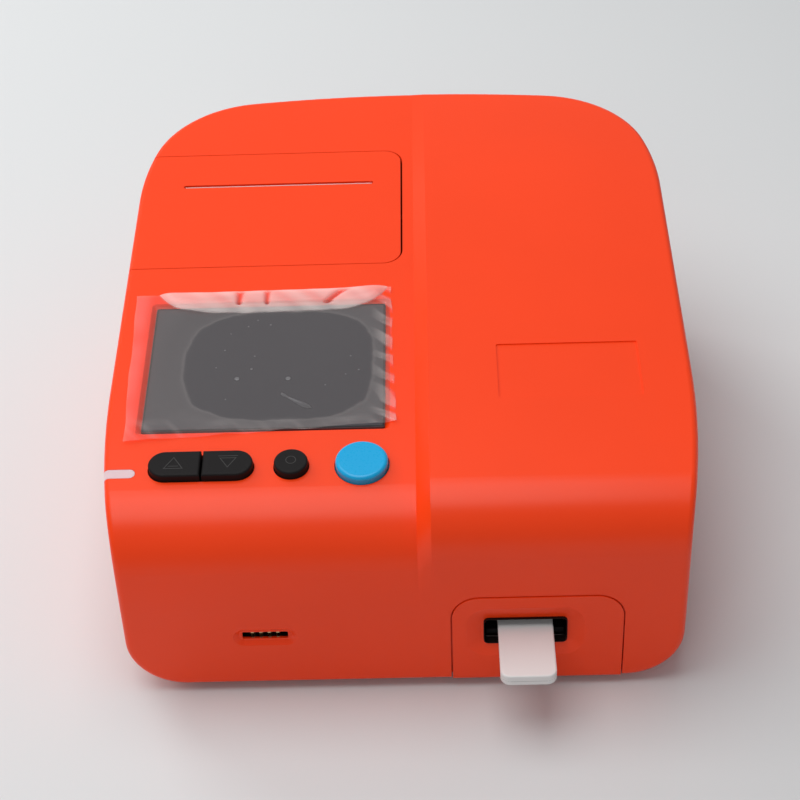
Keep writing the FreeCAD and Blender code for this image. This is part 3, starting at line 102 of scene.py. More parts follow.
def colour_property(name, description, colour):
    return FloatVectorProperty(name=name, description=description, subtype="COLOR", size=3, min=0.0, max=1.0,
                               default=colour)


def length_property(name, description, millimetres):
    return FloatProperty(name=name, description=description, subtype="DISTANCE", unit="LENGTH",
                         default=millimetres * MM, min=0.0)


class CaseSettings(bpy.types.PropertyGroup):
    """Colours and grain of the moulded case."""
    orange: colour_property("Case orange", "Colour of the cover, the lid and the slot panel",
                            (0.97, 0.054, 0.004))
    underside: colour_property("Underside grey", "Colour of the base tray", from_srgb(66, 66, 69))
    grain: length_property("Grain", "Spacing of the moulded texture", 0.45)


class ScreenSettings(bpy.types.PropertyGroup):
    """The screen, its border and the loose film over it."""
    window: colour_property("Window", "Colour of the tinted window with the display off",
                            from_srgb(84, 83, 87))
    border: length_property("Border", "Width of the black border round the window", 1.0)
    film_lift: length_property("Film lift", "How far the film stands up along its loose top strip", 1.5)
    film_steps: IntProperty(name="Film steps", description="Faces along the film's longer side", default=220,
                            min=20, max=400)


class KeySettings(bpy.types.PropertyGroup):
    """Key colours and the size of the marks on them."""
    dark: colour_property("Dark keys", "Colour of the two arrow keys and the small round key",
                          from_srgb(28, 26, 26))
    start: colour_property("Start key", "Colour of the large round key", from_srgb(4, 166, 220))
    mark_line: length_property("Mark line", "Line width of the marks on the keys", 0.28)


class DriveSettings(bpy.types.PropertyGroup):
    """The cassette drive and its lead screw."""
    lead: length_property("Lead", "Travel of the drawer for one turn of the screw", 4.0)
    thread_depth: length_property("Thread depth", "Depth of the screw's thread", 0.55)
    cassette: colour_property("Cassette", "Colour of the test cassette", from_srgb(230, 226, 224))


def power_property(name, description, watts):
    return FloatProperty(name=name, description=description, default=watts, min=0.0)


class StudioSettings(bpy.types.PropertyGroup):
    """Floor and lights."""
    floor: colour_property("Floor", "Colour of the floor and backdrop", from_srgb(219, 221, 221))
    air: power_property("Air", "Brightness of the even light from all round", 0.267)
    overhead: power_property("Overhead", "Power of the large light overhead, in watts", 9.9)
    left: power_property("Left", "Power of the light on the left, in watts", 3.2)
    corner: power_property("Corner", "Power of the light behind on the left, in watts", 9.1)
    back: power_property("Back", "Power of the light behind, in watts", 1.45)
    front: power_property("Front", "Power of the light beside the camera, in watts", 2.65)


# ---------------------------------------------------------------- materials

class Finish:
    """A node material under construction, with short calls for the nodes that the finishes share."""

    def __init__(self, name):
        self.material = bpy.data.materials.new(name)
        self.material.use_nodes = True
        self.tree = self.material.node_tree
        self.shader = self.tree.nodes["Principled BSDF"]
        self.coords = self.add("ShaderNodeTexCoord").outputs["Object"]

    def add(self, kind, **values):
        node = self.tree.nodes.new(kind)
        for key, value in values.items():
            setattr(node, key, value)
        return node

    def link(self, source, target):
        self.tree.links.new(source, target)

    def set(self, **values):
        for key, value in values.items():
            self.shader.inputs[key.replace("_", " ")].default_value = value

    def noise(self, per_metre, detail=2.0, roughness=0.5, stretch=(1, 1, 1)):
        source = self.coords
        if stretch != (1, 1, 1):
            mapping = self.add("ShaderNodeMapping")
            mapping.inputs["Scale"].default_value = stretch
            self.link(source, mapping.inputs["Vector"])
            source = mapping.outputs["Vector"]
        node = self.add("ShaderNodeTexNoise")
        node.inputs["Scale"].default_value = per_metre
        node.inputs["Detail"].default_value = detail
        node.inputs["Roughness"].default_value = roughness
        self.link(source, node.inputs["Vector"])
        return node.outputs["Fac"]

    def between(self, factor, low, high, start=0.35, end=0.65):
        node = self.add("ShaderNodeMapRange")
        for name, value in (("From Min", start), ("From Max", end), ("To Min", low), ("To Max", high)):
            node.inputs[name].default_value = value
        self.link(factor, node.inputs["Value"])
        return node.outputs["Result"]

    def colours(self, factor, first, second, start=0.3, end=0.7):
        ramp = self.add("ShaderNodeValToRGB")
        ramp.color_ramp.elements[0].position = start
        ramp.color_ramp.elements[1].position = end
        ramp.color_ramp.elements[0].color = (*first, 1.0)
        ramp.color_ramp.elements[1].color = (*second, 1.0)
        self.link(factor, ramp.inputs["Fac"])
        return ramp.outputs["Color"]

    def bump(self, height, strength, distance_mm):
        node = self.add("ShaderNodeBump")
        node.inputs["Strength"].default_value = strength
        node.inputs["Distance"].default_value = distance_mm * MM
        self.link(height, node.inputs["Height"])
        self.link(node.outputs["Normal"], self.shader.inputs["Normal"])
        return node


def shade(colour, factor):
    """A colour made lighter or darker by a factor, up to white."""
    return tuple(min(1.0, c * factor) for c in colour)


def moulded_plastic(name, colour, roughness=0.42, grain_mm=0.5, depth_mm=0.012, drift=0.05, coat=0.0,
                    sheen_level=0.5):
    """Injection-moulded plastic: fine spark-eroded grain, a slow drift of colour and uneven sheen."""
    made = Finish(name)
    slow = made.noise(14, 3.0)
    made.link(made.colours(slow, shade(colour, 1 - drift), shade(colour, 1 + drift)),
              made.shader.inputs["Base Color"])
    grain = made.noise(1000 / grain_mm, 2.0, 0.6)
    made.link(made.between(grain, roughness - 0.05, roughness + 0.06), made.shader.inputs["Roughness"])
    made.bump(grain, 0.35, depth_mm)
    made.set(Specular_IOR_Level=sheen_level)
    if coat:
        made.set(Coat_Weight=coat, Coat_Roughness=0.22)
    return made.material


def brushed_metal(name, colour, roughness=0.3, along=(1, 30, 30), per_metre=220):
    """Rolled or ground metal with fine lines along one direction."""
    made = Finish(name)
    lines = made.noise(per_metre, 3.0, 0.65, along)
    made.link(made.colours(lines, shade(colour, 0.88), shade(colour, 1.06)), made.shader.inputs["Base Color"])
    made.link(made.between(lines, roughness - 0.08, roughness + 0.12), made.shader.inputs["Roughness"])
    made.set(Metallic=1.0)
    made.bump(lines, 0.12, 0.01)
    return made.material


def rubber(name, colour, roughness=0.72):
    made = Finish(name)
    dust = made.noise(60, 4.0, 0.7)
    made.link(made.colours(dust, colour, shade(colour, 1.7), 0.35, 0.9), made.shader.inputs["Base Color"])
    pores = made.noise(1600, 2.0)
    made.link(made.between(pores, roughness - 0.06, roughness + 0.08), made.shader.inputs["Roughness"])
    made.bump(pores, 0.3, 0.03)
    return made.material


def circuit_board(name):
    """Green solder mask with raised tracks that run in two directions, and small tinned vias."""
    made = Finish(name)
    brick = made.add("ShaderNodeTexBrick", offset=0.37, squash=0.6, squash_frequency=3)
    for key, value in (("Scale", 60.0), ("Mortar Size", 0.006), ("Mortar Smooth", 0.1), ("Brick Width", 0.35),
                       ("Row Height", 0.12)):
        brick.inputs[key].default_value = value
    green, track = from_srgb(18, 84, 44), from_srgb(34, 118, 62)
    brick.inputs["Color1"].default_value = (*green, 1)
    brick.inputs["Color2"].default_value = (*shade(green, 0.9), 1)
    brick.inputs["Mortar"].default_value = (*track, 1)
    made.link(made.coords, brick.inputs["Vector"])
    dots = made.add("ShaderNodeTexVoronoi", feature="DISTANCE_TO_EDGE")
    dots.inputs["Scale"].default_value = 170.0
    made.link(made.coords, dots.inputs["Vector"])
    via = made.between(dots.outputs["Distance"], 0.0, 1.0, 0.42, 0.46)
    mix = made.add("ShaderNodeMix", data_type="RGBA")
    mix.inputs["B"].default_value = (*from_srgb(190, 186, 170), 1)
    made.link(via, mix.inputs["Factor"])
    made.link(brick.outputs["Color"], mix.inputs["A"])
    made.link(mix.outputs["Result"], made.shader.inputs["Base Color"])
    made.link(made.between(made.noise(300), 0.28, 0.42), made.shader.inputs["Roughness"])
    made.bump(brick.outputs["Fac"], 0.3, 0.03)
    return made.material


def paper(name, rolled=False):
    """Thermal paper: smooth white with faint fibres, and on the roll the fine rings of its layers."""
    made = Finish(name)
    white = from_srgb(238, 238, 236)
    fibres = made.noise(900, 4.0, 0.7, (1, 3, 1))
    if rolled:
        mapping = made.add("ShaderNodeMapping")
        mapping.inputs["Location"].default_value = -row(ROLL_X, ROLL_V, ROLL_Z)
        made.link(made.coords, mapping.inputs["Vector"])
        rings = made.add("ShaderNodeTexWave", wave_type="RINGS", rings_direction="X")
        rings.inputs["Scale"].default_value = 520.0
        rings.inputs["Distortion"].default_value = 0.6
        made.link(mapping.outputs["Vector"], rings.inputs["Vector"])
        made.link(made.colours(rings.outputs["Fac"], shade(white, 0.82), white),
                  made.shader.inputs["Base Color"])
        made.bump(rings.outputs["Fac"], 0.25, 0.05)
    else:
        made.link(made.colours(fibres, shade(white, 0.96), white), made.shader.inputs["Base Color"])
        made.bump(fibres, 0.1, 0.02)
    made.link(made.between(fibres, 0.5, 0.62), made.shader.inputs["Roughness"])
    return made.material


def diffuser(name):
    """Milky light pipe: soft body colour that lets light spread inside it."""
    made = Finish(name)
    slow = made.noise(120, 2.0)
    white = from_srgb(228, 198, 202)
    made.link(made.colours(slow, shade(white, 0.95), white), made.shader.inputs["Base Color"])
    made.link(made.between(made.noise(1500), 0.3, 0.4), made.shader.inputs["Roughness"])
    made.set(Subsurface_Weight=0.35, Subsurface_Scale=0.002)
    made.shader.inputs["Subsurface Radius"].default_value = (1.0, 0.8, 0.8)
    return made.material


def lens_glass(name):
    made = Finish(name)
    rainbow = made.noise(90, 1.0)
    made.link(made.colours(rainbow, from_srgb(70, 92, 120), from_srgb(96, 74, 128)),
              made.shader.inputs["Base Color"])
    made.link(made.between(rainbow, 0.02, 0.06), made.shader.inputs["Roughness"])
    made.set(Coat_Weight=1.0, Coat_Roughness=0.02)
    return made.material


def tinted_window(name, colour):
    """The window with the display off: neutral grey depth under a smooth skin."""
    made = Finish(name)
    slow = made.noise(9, 1.0)
    made.link(made.colours(slow, shade(colour, 0.94), shade(colour, 1.06)), made.shader.inputs["Base Color"])
    made.link(made.between(made.noise(700), 0.16, 0.22), made.shader.inputs["Roughness"])
    return made.material


def clear_film(name):
    """Thin clear film: mostly see-through, glossy, and whitish where it creases or stands away; the whitish
    veil is partly the film's own milkiness and partly painted highlight and reflection.
    """
    made = Finish(name)
    tree = made.tree
    # The per-point attribute mixes in a pinkish white veil: painted highlight and reflection where the film
    # lifts or creases, with some real milkiness.
    haze_and_sheen = made.add("ShaderNodeAttribute", attribute_name="haze_and_sheen").outputs["Fac"]
    made.set(Base_Color=(1.0, 0.90, 0.86, 1.0))
    ripple = made.noise(160, 3.0, 0.55, (1, 2.2, 1))
    made.link(made.between(ripple, 0.06, 0.14), made.shader.inputs["Roughness"])
    made.bump(ripple, 0.35, 0.35)
    clear = made.add("ShaderNodeBsdfTransparent")
    clear.inputs["Color"].default_value = (0.985, 0.985, 0.99, 1.0)
    edge = made.add("ShaderNodeFresnel")
    edge.inputs["IOR"].default_value = 1.45
    total = made.add("ShaderNodeMath", operation="ADD", use_clamp=True)
    made.link(edge.outputs["Fac"], total.inputs[0])
    made.link(haze_and_sheen, total.inputs[1])
    mix = made.add("ShaderNodeMixShader")
    made.link(total.outputs["Value"], mix.inputs["Fac"])
    made.link(clear.outputs["BSDF"], mix.inputs[1])
    made.link(made.shader.outputs["BSDF"], mix.inputs[2])
    made.link(mix.outputs["Shader"], tree.nodes["Material Output"].inputs["Surface"])
    return made.material


def floor_finish(name, colour):
    made = Finish(name)
    slow = made.noise(2.0, 2.0)
    made.link(made.colours(slow, shade(colour, 0.985), colour), made.shader.inputs["Base Color"])
    made.set(Roughness=0.85)
    made.link(made.between(made.noise(400), 0.8, 0.9), made.shader.inputs["Roughness"])
    return made.material


# ---------------------------------------------------------------- mesh building

def add_mesh(name, vertices, faces, material, smooth=True):
    mesh = bpy.data.meshes.new(name)
    mesh.from_pydata([tuple(v) for v in vertices], [], faces)
    mesh.validate()
    if smooth:
        mesh.shade_smooth()
    made = bpy.data.objects.new(name, mesh)
    bpy.context.scene.collection.objects.link(made)
    made.data.materials.append(material)
    return made


def prism(outline, place, low, high):
    """Vertices and faces of a closed outline, raised between two levels by a placing function."""
    count = len(outline)
    vertices = [place(x, y, level) for level in (low, high) for x, y in outline]
    faces = [tuple(reversed(range(count))), tuple(range(count, 2 * count))]
    for k in range(count):
        after = (k + 1) % count
        faces.append((k, after, count + after, count + k))
    return vertices, faces


def band(outer, inner, place, low, high):
    """Vertices and faces of a closed band between two outlines with equal numbers of points."""
    count = len(outer)
    vertices = []
    for level in (low, high):
        vertices += [place(x, y, level) for x, y in outer]
        vertices += [place(x, y, level) for x, y in inner]
    faces = []
    for k in range(count):
        a, b = k, (k + 1) % count
        faces.append((a, count + a, count + b, b))
        faces.append((2 * count + a, 2 * count + b, 3 * count + b, 3 * count + a))
        faces.append((a, b, 2 * count + b, 2 * count + a))
        faces.append((count + a, 3 * count + a, 3 * count + b, count + b))
    return vertices, faces


def joined(parts):
    """Vertices and faces of several parts as one mesh."""
    vertices, faces = [], []
    for some, more in parts:
        start = len(vertices)
        vertices += some
        faces += [tuple(start + k for k in face) for face in more]
    return vertices, faces


def circle(x, y, radius, count=48):
    return [(x + radius * math.cos(2 * math.pi * k / count), y + radius * math.sin(2 * math.pi * k / count))
            for k in range(count)]


def rounded_rectangle(x, y, width, height, radius, steps=6):
    points = []
    for cx, cy, start in ((1, 1, 0), (-1, 1, 90), (-1, -1, 180), (1, -1, 270)):
        for k in range(steps + 1):
            angle = math.radians(start + 90 * k / steps)
            points.append((x + cx * (width / 2 - radius) + radius * math.cos(angle),
                           y + cy * (height / 2 - radius) + radius * math.sin(angle)))
    return points


def revolved(profile, place, count=32):
    """Turn a profile of (radius, level) pairs round an axis; place takes across, up and level."""
    vertices, faces = [], []
    for radius, level in profile:
        for k in range(count):
            angle = 2 * math.pi * k / count
            vertices.append(place(radius * math.cos(angle), radius * math.sin(angle), level))
    for ring in range(len(profile) - 1):
        for k in range(count):
            after = (k + 1) % count
            a, b = ring * count, (ring + 1) * count
            faces.append((a + k, a + after, b + after, b + k))
    faces.append(tuple(reversed(range(count))))
    last = (len(profile) - 1) * count
    faces.append(tuple(range(last, last + count)))
    return vertices, faces


def dress(material, *nodes):
    """Give CAD nodes a finish."""
    for name in nodes:
        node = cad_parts[name]
        node.data.materials.clear()
        node.data.materials.append(material)


def settle(piece, body):
    """Put a piece on the body that carries it."""
    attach(piece, body)
    return piece


# ---------------------------------------------------------------- screen film

# Corners of the film, as x and v: top left, top right, low right, low left
FILM_CORNERS = ((-114.6, 141.2), (-3.7, 143.3), (-1.4, 60.4), (-111.6, 51.6))
# Middle and half size of the patch where the film clings to the window
STUCK_CENTRE = (-50.8, 96.7)
STUCK_HALF = (39.3, 32.6)
CLING_GAP = 0.2
# Folds in the loose top strip: x, half width, lean and depth
TOP_FOLDS = ((-69.2, 1.5, 0.05, 1.0), (-57.3, 1.2, 0.0, 0.95), (-26.6, 2.1, 0.9, 1.0))


def smooth_step(value):
    value = min(1.0, max(0.0, value))
    return value * value * (3 - 2 * value)


def wave(x, seed, scale):
    """Smooth noise along a length, between about -1 and 1."""
    return noise.noise(Vector((x / scale, seed * 7.31, seed * 1.7)))


def case_level(x, v):
    """Height of the case or the window under the film."""
    cx, cv, width, height = SCREEN
    out = max(abs(x - cx) - width / 2, abs(v - cv) - height / 2)
    return WINDOW_LEVEL * (1 - min(1.0, max(0.0, out / 1.0)))


def stuck_distance(x, v):
    """How far a point is outside the patch where the film clings to the window, in millimetres."""
    dx = (x - STUCK_CENTRE[0]) / STUCK_HALF[0]
    dv = (v - STUCK_CENTRE[1]) / STUCK_HALF[1]
    power = 3.2 if dx > 0 else 2.7
    reach = (abs(dx) ** power + abs(dv) ** power) ** (1 / power)
    turn = math.atan2(dv, dx) * 10
    ragged = (0.03 * wave(turn, 3, 2.6) + 0.015 * wave(turn, 5, 0.7)) * smooth_step((31.4 - abs(turn)) / 6)
    return (reach - 1 + ragged) * 35.0


def film_height(x, v, lift):
    """Height of the film over the console plane, and how whitish it is; the whiteness is partly painted
    highlight and reflection.
    """
    away = stuck_distance(x, v)
    cling = WINDOW_LEVEL + CLING_GAP
    level = cling + (0.25 - cling) * smooth_step(away / 13.0)
    level = max(level, case_level(x, v) + 0.12)
    cx, cv, width, height = SCREEN
    over_screen = abs(x - cx) < width / 2 and abs(v - cv) < height / 2
    # Over the window, the whitening of the lifted film and of the clinging patch's rim is painted reflection,
    # with some real milkiness.
    rim = math.exp(-((away - 0.7) / 0.7) ** 2)
    haze_and_sheen = 0.042 * smooth_step(away / 0.9) + 0.028 * rim if over_screen else 0.012
    # The loose top strip stands up in one long bulge with a crisp lower edge, pinched by three folds; its
    # whiteness is a painted highlight where it curls toward the light, held back in the folds as painted
    # shade.
    along = abs(x + 55.5) / 48
    foot = 129.6 + 9.5 * along ** 7 + 0.8 * wave(x, 4, 9)
    if along < 1.06 and v > foot:
        swell = smooth_step((v - foot) / 1.1)
        arch = math.sin(math.pi * min(1.0, (v - foot) / 15.0))
        pinch = 0.0
        for at, wide, lean, depth in TOP_FOLDS:
            aside = (x - at - lean * (v - 139)) / (wide * (0.8 + 0.05 * max(0.0, v - 134)))
            ends = smooth_step((v - 133) / 1.2) * smooth_step((142.4 - v) / 2)
            pinch += depth * math.exp(-aside * aside) * ends
        level += lift * swell * arch * max(0.0, 1 - 0.8 * pinch)
        haze_and_sheen += (0.35 + 0.16 * wave(x + v, 12, 7)) * swell * max(0.0, 1 - pinch)
    # Creases along the right edge, the wavy lower edge and the raised left edge; their whitish streaks are
    # painted highlights on the tilted film.
    right = smooth_step((x + 13) / 8)
    fold = math.sin((v + 0.9 * x) * 0.55 + 2.2 * wave(v, 13, 11))
    level += right * 0.35 * fold * (0.6 + wave(v, 9, 8.0))
    haze_and_sheen += right * 0.15 * smooth_step(0.45 + 1.4 * fold) * (0.55 + 0.9 * abs(wave(v, 15, 9)))
    low = smooth_step((66 - v) / 6)
    level += low * 0.35 * (1 + math.sin(x * 0.23 + 2 * wave(x, 2, 19)))
    haze_and_sheen += low * 0.10 * max(0.0, wave(x * 1.3 + v, 4, 6.0))
    left = smooth_step((-104 - x) / 6)
    haze_and_sheen += (0.07 + 0.05 * wave(v, 16, 12)) * smooth_step((-105.6 - x) / 7)
    level += left * 0.25 * (1 + math.sin(v * 0.16))
    return level, min(0.8, haze_and_sheen)


def build_film(settings):
    """The factory film that still lies over the screen, clinging in the middle and loose all round."""
    steps = settings.film_steps
    rows = int(steps * 0.78)
    lift = settings.film_lift / MM
    vertices, faces, haze_and_sheen_values = [], [], []
    for j in range(rows + 1):
        t = j / rows
        for i in range(steps + 1):
            s = i / steps
            shares = ((1 - t) * (1 - s), (1 - t) * s, t * s, t * (1 - s))
            x, v = (sum(share * corner[k] for share, corner in zip(shares, FILM_CORNERS)) for k in (0, 1))
            v += (1 - t) ** 6 * 0.5 * wave(x, 1, 17) + t ** 6 * 0.9 * (wave(x, 6, 11) + 0.4)
            x += (1 - s) ** 6 * 0.6 * wave(v, 7, 14) + s ** 6 * 0.7 * wave(v, 8, 9)
            level, haze_and_sheen = film_height(x, v, lift)
            vertices.append(console(x, v, level))
            haze_and_sheen_values.append(haze_and_sheen)
    for j in range(rows):
        for i in range(steps):
            a = j * (steps + 1) + i
            faces.append((a, a + steps + 1, a + steps + 2, a + 1))
    film = add_mesh("screen_film_sheet", vertices, faces, clear_film("clear film"))
    # The per-point whiteness carries the film's painted highlights and reflections.
    layer = film.data.attributes.new("haze_and_sheen", "FLOAT", "POINT")
    layer.data.foreach_set("value", haze_and_sheen_values)
    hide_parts("screen_film")
    settle(film, "housing")
    return film


# Air bubbles under the film: x, v and radius
FILM_SPECKS = ((-67.8, 88.8, 1.15), (-46.4, 88.2, 1.2), (-62.0, 94.5, 0.6), (-61.1, 102.3, 0.45),
               (-74.0, 106.3, 0.4), (-60.8, 124.8, 0.35), (-55.2, 121.7, 0.45), (-72.0, 116.5, 0.3),
               (-64.7, 120.9, 0.4), (-77.0, 95.7, 0.35), (-71.8, 76.7, 0.35), (-20.5, 101.1, 0.4),
               (-17.0, 92.5, 0.5), (-22.4, 90.1, 0.35), (-30.8, 83.9, 0.4))


def build_film_specks():
    """Small air bubbles under the film, and one long one shaped like a comet; their light grey colour is a
    painted reflection off each bubble.
    """
    parts = []
    for x, v, radius in FILM_SPECKS:
        def place(across, up, level, x=x, v=v):
            return console(x + across, v + up, WINDOW_LEVEL + 0.07 + level)
        profile = ((radius, 0.0), (radius * 0.8, 0.05), (radius * 0.4, 0.09), (radius * 0.05, 0.1))
        parts.append(revolved(profile, place, 16))
    spine = ((-49.0, 79.4, 0.5), (-47.7, 78.3, 0.75), (-46.4, 77.3, 0.35), (-43.1, 74.9, 0.7),
             (-39.8, 72.7, 1.15), (-37.5, 71.2, 0.9), (-35.9, 70.3, 0.15))
    outline = []
    for sign in (1, -1):
        run = spine if sign > 0 else tuple(reversed(spine))
        outline += [(x + sign * half * 0.5, v + sign * half) for x, v, half in run]
    parts.append(prism(outline, console, WINDOW_LEVEL + 0.07, WINDOW_LEVEL + 0.13))
    vertices, faces = joined(parts)
    # Light grey paints the reflection off the bubbles over the darker window.
    made = moulded_plastic("painted bubble reflection", from_srgb(124, 124, 127), 0.3, 0.6, 0.004)
    return settle(add_mesh("film_bubbles", vertices, faces, made), "housing")


def build_window_face(glass):
    """The front layer of the window, which brings its surface almost level with the case."""
    cx, cv, width, height = SCREEN
    outline = rounded_rectangle(cx, cv, width - 0.2, height - 0.2, 0.9)
    inset = rounded_rectangle(cx, cv, width - 0.5, height - 0.5, 0.8)
    count = len(outline)
    layers = ((outline, WINDOW_FLOOR), (outline, WINDOW_LEVEL - 0.15), (inset, WINDOW_LEVEL))
    vertices = [console(x, v, level) for points, level in layers for x, v in points]
    faces = [tuple(reversed(range(count))), tuple(range(2 * count, 3 * count))]
    for level in (0, count):
        for k in range(count):
            after = (k + 1) % count
            faces.append((level + k, level + after, level + count + after, level + count + k))
    return settle(add_mesh("window_face", vertices, faces, glass, False), "housing")


def build_screen_border(settings):
    """The black printed border along the edges of the window."""
    cx, cv, width, height = SCREEN
    edge = settings.border / MM
    outer = rounded_rectangle(cx, cv, width - 0.5, height - 0.5, 0.8)
    inner = rounded_rectangle(cx, cv, width - 2 * edge, height - 2 * edge, 0.5)
    vertices, faces = band(outer, inner, console, WINDOW_LEVEL, WINDOW_LEVEL + 0.03)
    black = moulded_plastic("window border ink", from_srgb(20, 19, 20), 0.4, 0.4, 0.004)
    return settle(add_mesh("window_border", vertices, faces, black, False), "housing")


# ---------------------------------------------------------------- keys

def triangle(x, v, half, rise, point):
    """A triangle whose point is up (1) or down (-1)."""
    return [(x - point * half, v - point * rise / 2), (x + point * half, v - point * rise / 2),
            (x, v + point * rise / 2)]


def triangle_ring(x, v, half, rise, point, line):
    """The outer and inner outline of a triangle drawn as a line."""
    outer = triangle(x, v, half, rise, point)
    shrink = 1 - line / (rise / 3)
    mid_x = sum(p[0] for p in outer) / 3
    mid_v = sum(p[1] for p in outer) / 3
    inner = [(mid_x + (px - mid_x) * shrink, mid_v + (pv - mid_v) * shrink) for px, pv in outer]
    return outer, inner


def build_key_marks(settings):
    line = settings.mark_line / MM
    ink = moulded_plastic("key mark print", from_srgb(47, 45, 44), 0.55, 0.3, 0.004)
    low, high = KEY_TOP, KEY_TOP + 0.04
    up = triangle_ring(UP_KEY_X, KEY_V + 0.2, 4.0, 6.4, 1, line)
    bar = rounded_rectangle(UP_KEY_X, KEY_V - 1.6, 4.2, line, line / 2.2)
    vertices, faces = joined([band(*up, console, low, high), prism(bar, console, low, high)])
    settle(add_mesh("up_key_mark", vertices, faces, ink, False), "up_key")
    down = triangle_ring(DOWN_KEY_X, KEY_V - 0.3, 3.4, 5.4, -1, line)
    bar = rounded_rectangle(DOWN_KEY_X, KEY_V + 3.4, 8.0, line, line / 2.2)
    vertices, faces = joined([band(*down, console, low, high), prism(bar, console, low, high)])
    settle(add_mesh("down_key_mark", vertices, faces, ink, False), "down_key")
    outer, inner = (circle(SELECT_KEY_X, KEY_V + 0.4, radius) for radius in (2.1, 2.1 - line))
    ring = band(outer, inner, console, low, high)
    settle(add_mesh("select_key_mark", *ring, ink, False), "select_key")


# ---------------------------------------------------------------- drive, sockets and fittings

def build_lead_screw(settings):
    """The drawer's screw with a real helical thread and its two plain journals."""
    lead, depth = settings.lead / MM, settings.thread_depth / MM
    radius, root = SCREW_RADIUS, SCREW_RADIUS - depth
    around, per_turn = 20, 20
    length = SCREW_END - SCREW_START
    turns = length / lead
    rings = int(turns * per_turn)
    vertices, faces = [], []

    def ring(level, size):
        for k in range(around):
            angle = 2 * math.pi * k / around
            wanted = size(angle, level)
            across, up = wanted * math.cos(angle), wanted * math.sin(angle)
            vertices.append(row(SCREW_X + across, level, SCREW_Z + up))

    def journal(angle, level):
        return JOURNAL_RADIUS

    def threaded(angle, level):
        phase = ((level - SCREW_START) / (lead / 2) + angle / math.pi) % 1.0
        crest = smooth_step(abs(phase - 0.5) * 5 - 0.7)
        return root + (radius - root) * crest

    ring(CHASSIS_FRONT, lambda angle, level: JOURNAL_RADIUS - 0.3)
    ring(CHASSIS_FRONT + 0.4, journal)
    ring(SCREW_START, journal)
    for k in range(rings + 1):
        ring(SCREW_START + length * k / rings, threaded)
    ring(SCREW_END, journal)
    ring(SCREW_TAIL, journal)
    count = len(vertices) // around
    for j in range(count - 1):
        for k in range(around):
            after = (k + 1) % around
            a, b = j * around, (j + 1) * around
            faces.append((a + k, b + k, b + after, a + after))
    faces.append(tuple(range(around)))
    faces.append(tuple(reversed(range((count - 1) * around, count * around))))
    steel = brushed_metal("rolled screw steel", from_srgb(176, 176, 180), 0.25, (30, 1, 30))
    screw = add_mesh("lead_screw_thread", vertices, faces, steel)
    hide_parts("lead_screw")
    return settle(screw, "lead_screw")


def build_socket_contacts():
    """Gold contacts in the serial and USB sockets."""
    gold = brushed_metal("gold flash", from_srgb(222, 178, 92), 0.22, (30, 1, 30), 500)
    parts = []
    serial_x, serial_z, face = 28.0, 27.9, 282.0
    for level, count in ((1, 5), (-1, 4)):
        for k in range(count):
            x = serial_x + (k - (count - 1) / 2) * 2.77

            def place(across, up, depth, x=x, z=serial_z + level * 1.42):
                return row(x + across, face + depth, z + up)
            parts.append(revolved(((0.52, -3.6), (0.52, -0.35), (0.42, -0.2), (0.3, -0.2)), place, 14))
    for k in range(4):
        x = 0.5 + (k - 1.5) * 2.3
        outline = rounded_rectangle(x, 0, 1.0, 7.4, 0.2, 2)

        def pad(across, along, level):
            return row(across, 276.2 + along, 24.85 + level)
        parts.append(prism(outline, pad, 0.0, 0.14))
    vertices, faces = joined(parts)
    return settle(add_mesh("socket_contacts", vertices, faces, gold), "housing")


def build_contact_tips():
    """The bent ends of the port's leaf contacts, at the upper and lower edge of its mouth."""
    gold = brushed_metal("leaf tip gold", from_srgb(206, 178, 134), 0.34, (30, 1, 30), 400)
    parts = []
    for k in range(CONTACT_COLUMNS):
        x = PORT_X + (k - (CONTACT_COLUMNS - 1) / 2) * CONTACT_PITCH
        for z, height in ((PORT_Z + 1.3, 0.9), (PORT_Z - 1.58, 0.4)):
            outline = rounded_rectangle(x, z, 1.35, height, 0.18, 3)
            parts.append(prism(outline, upright, -127.5, -125.8))
    vertices, faces = joined(parts)
    return settle(add_mesh("port_contact_tips", vertices, faces, gold, False), "housing")


def build_slot_shade_lining():
    """The black sleeve inside the mouth of the test slot; its dark reddish colour is painted shade for the
    shaded walls of the slot.
    """
    outer = rounded_rectangle(SLOT_X, SLOT_Z, SLOT_WIDTH - 0.02, SLOT_HEIGHT - 0.02, SLOT_CORNER - 0.01)
    inner = rounded_rectangle(SLOT_X, SLOT_Z, SLOT_WIDTH - 0.5, SLOT_HEIGHT - 0.5, SLOT_CORNER - 0.25)
    vertices, faces = band(outer, inner, upright, -129.1, -117.8)
    # Dark reddish black paints the shade inside the slot mouth.
    black = moulded_plastic("slot mouth painted shade", from_srgb(22, 12, 11), 0.6, 0.5, 0.01, sheen_level=0.2)
    return settle(add_mesh("slot_mouth_shade_sleeve", vertices, faces, black, False), "housing")


def build_cassette_seam():
    """The fine joint line between the two halves of the cassette."""
    middle, length = (CASSETTE_FRONT + CASSETTE_BACK) / 2, CASSETTE_BACK - CASSETTE_FRONT
    outer = rounded_rectangle(SLOT_X, middle, CASSETTE_WIDTH + 0.04, length + 0.04, 4.02)
    inner = rounded_rectangle(SLOT_X, middle, CASSETTE_WIDTH - 0.4, length - 0.4, 3.8)

    def place(x, y, z):
        return Vector((x, y, z)) * MM
    vertices, faces = band(outer, inner, place, CASSETTE_SEAM - 0.06, CASSETTE_SEAM + 0.06)
    shadow = moulded_plastic("seam shadow", from_srgb(158, 152, 149), 0.6, 0.3, 0.004)
    return settle(add_mesh("cassette_seam", vertices, faces, shadow, False), "drawer")


def build_carriage_lip():
    """The bare bright edge of the carriage's tongue, behind the mouth of the slot."""
    parts = [prism(rounded_rectangle(x, 24.4, 7.2, 0.3, 0.1, 2), upright, -125.35, -125.1)
             for x in (35.6, 61.6)]
    vertices, faces = joined(parts)
    edge = brushed_metal("tongue edge", from_srgb(196, 190, 188), 0.5, (1, 30, 30))
    return settle(add_mesh("carriage_lip", vertices, faces, edge, False), "drawer")


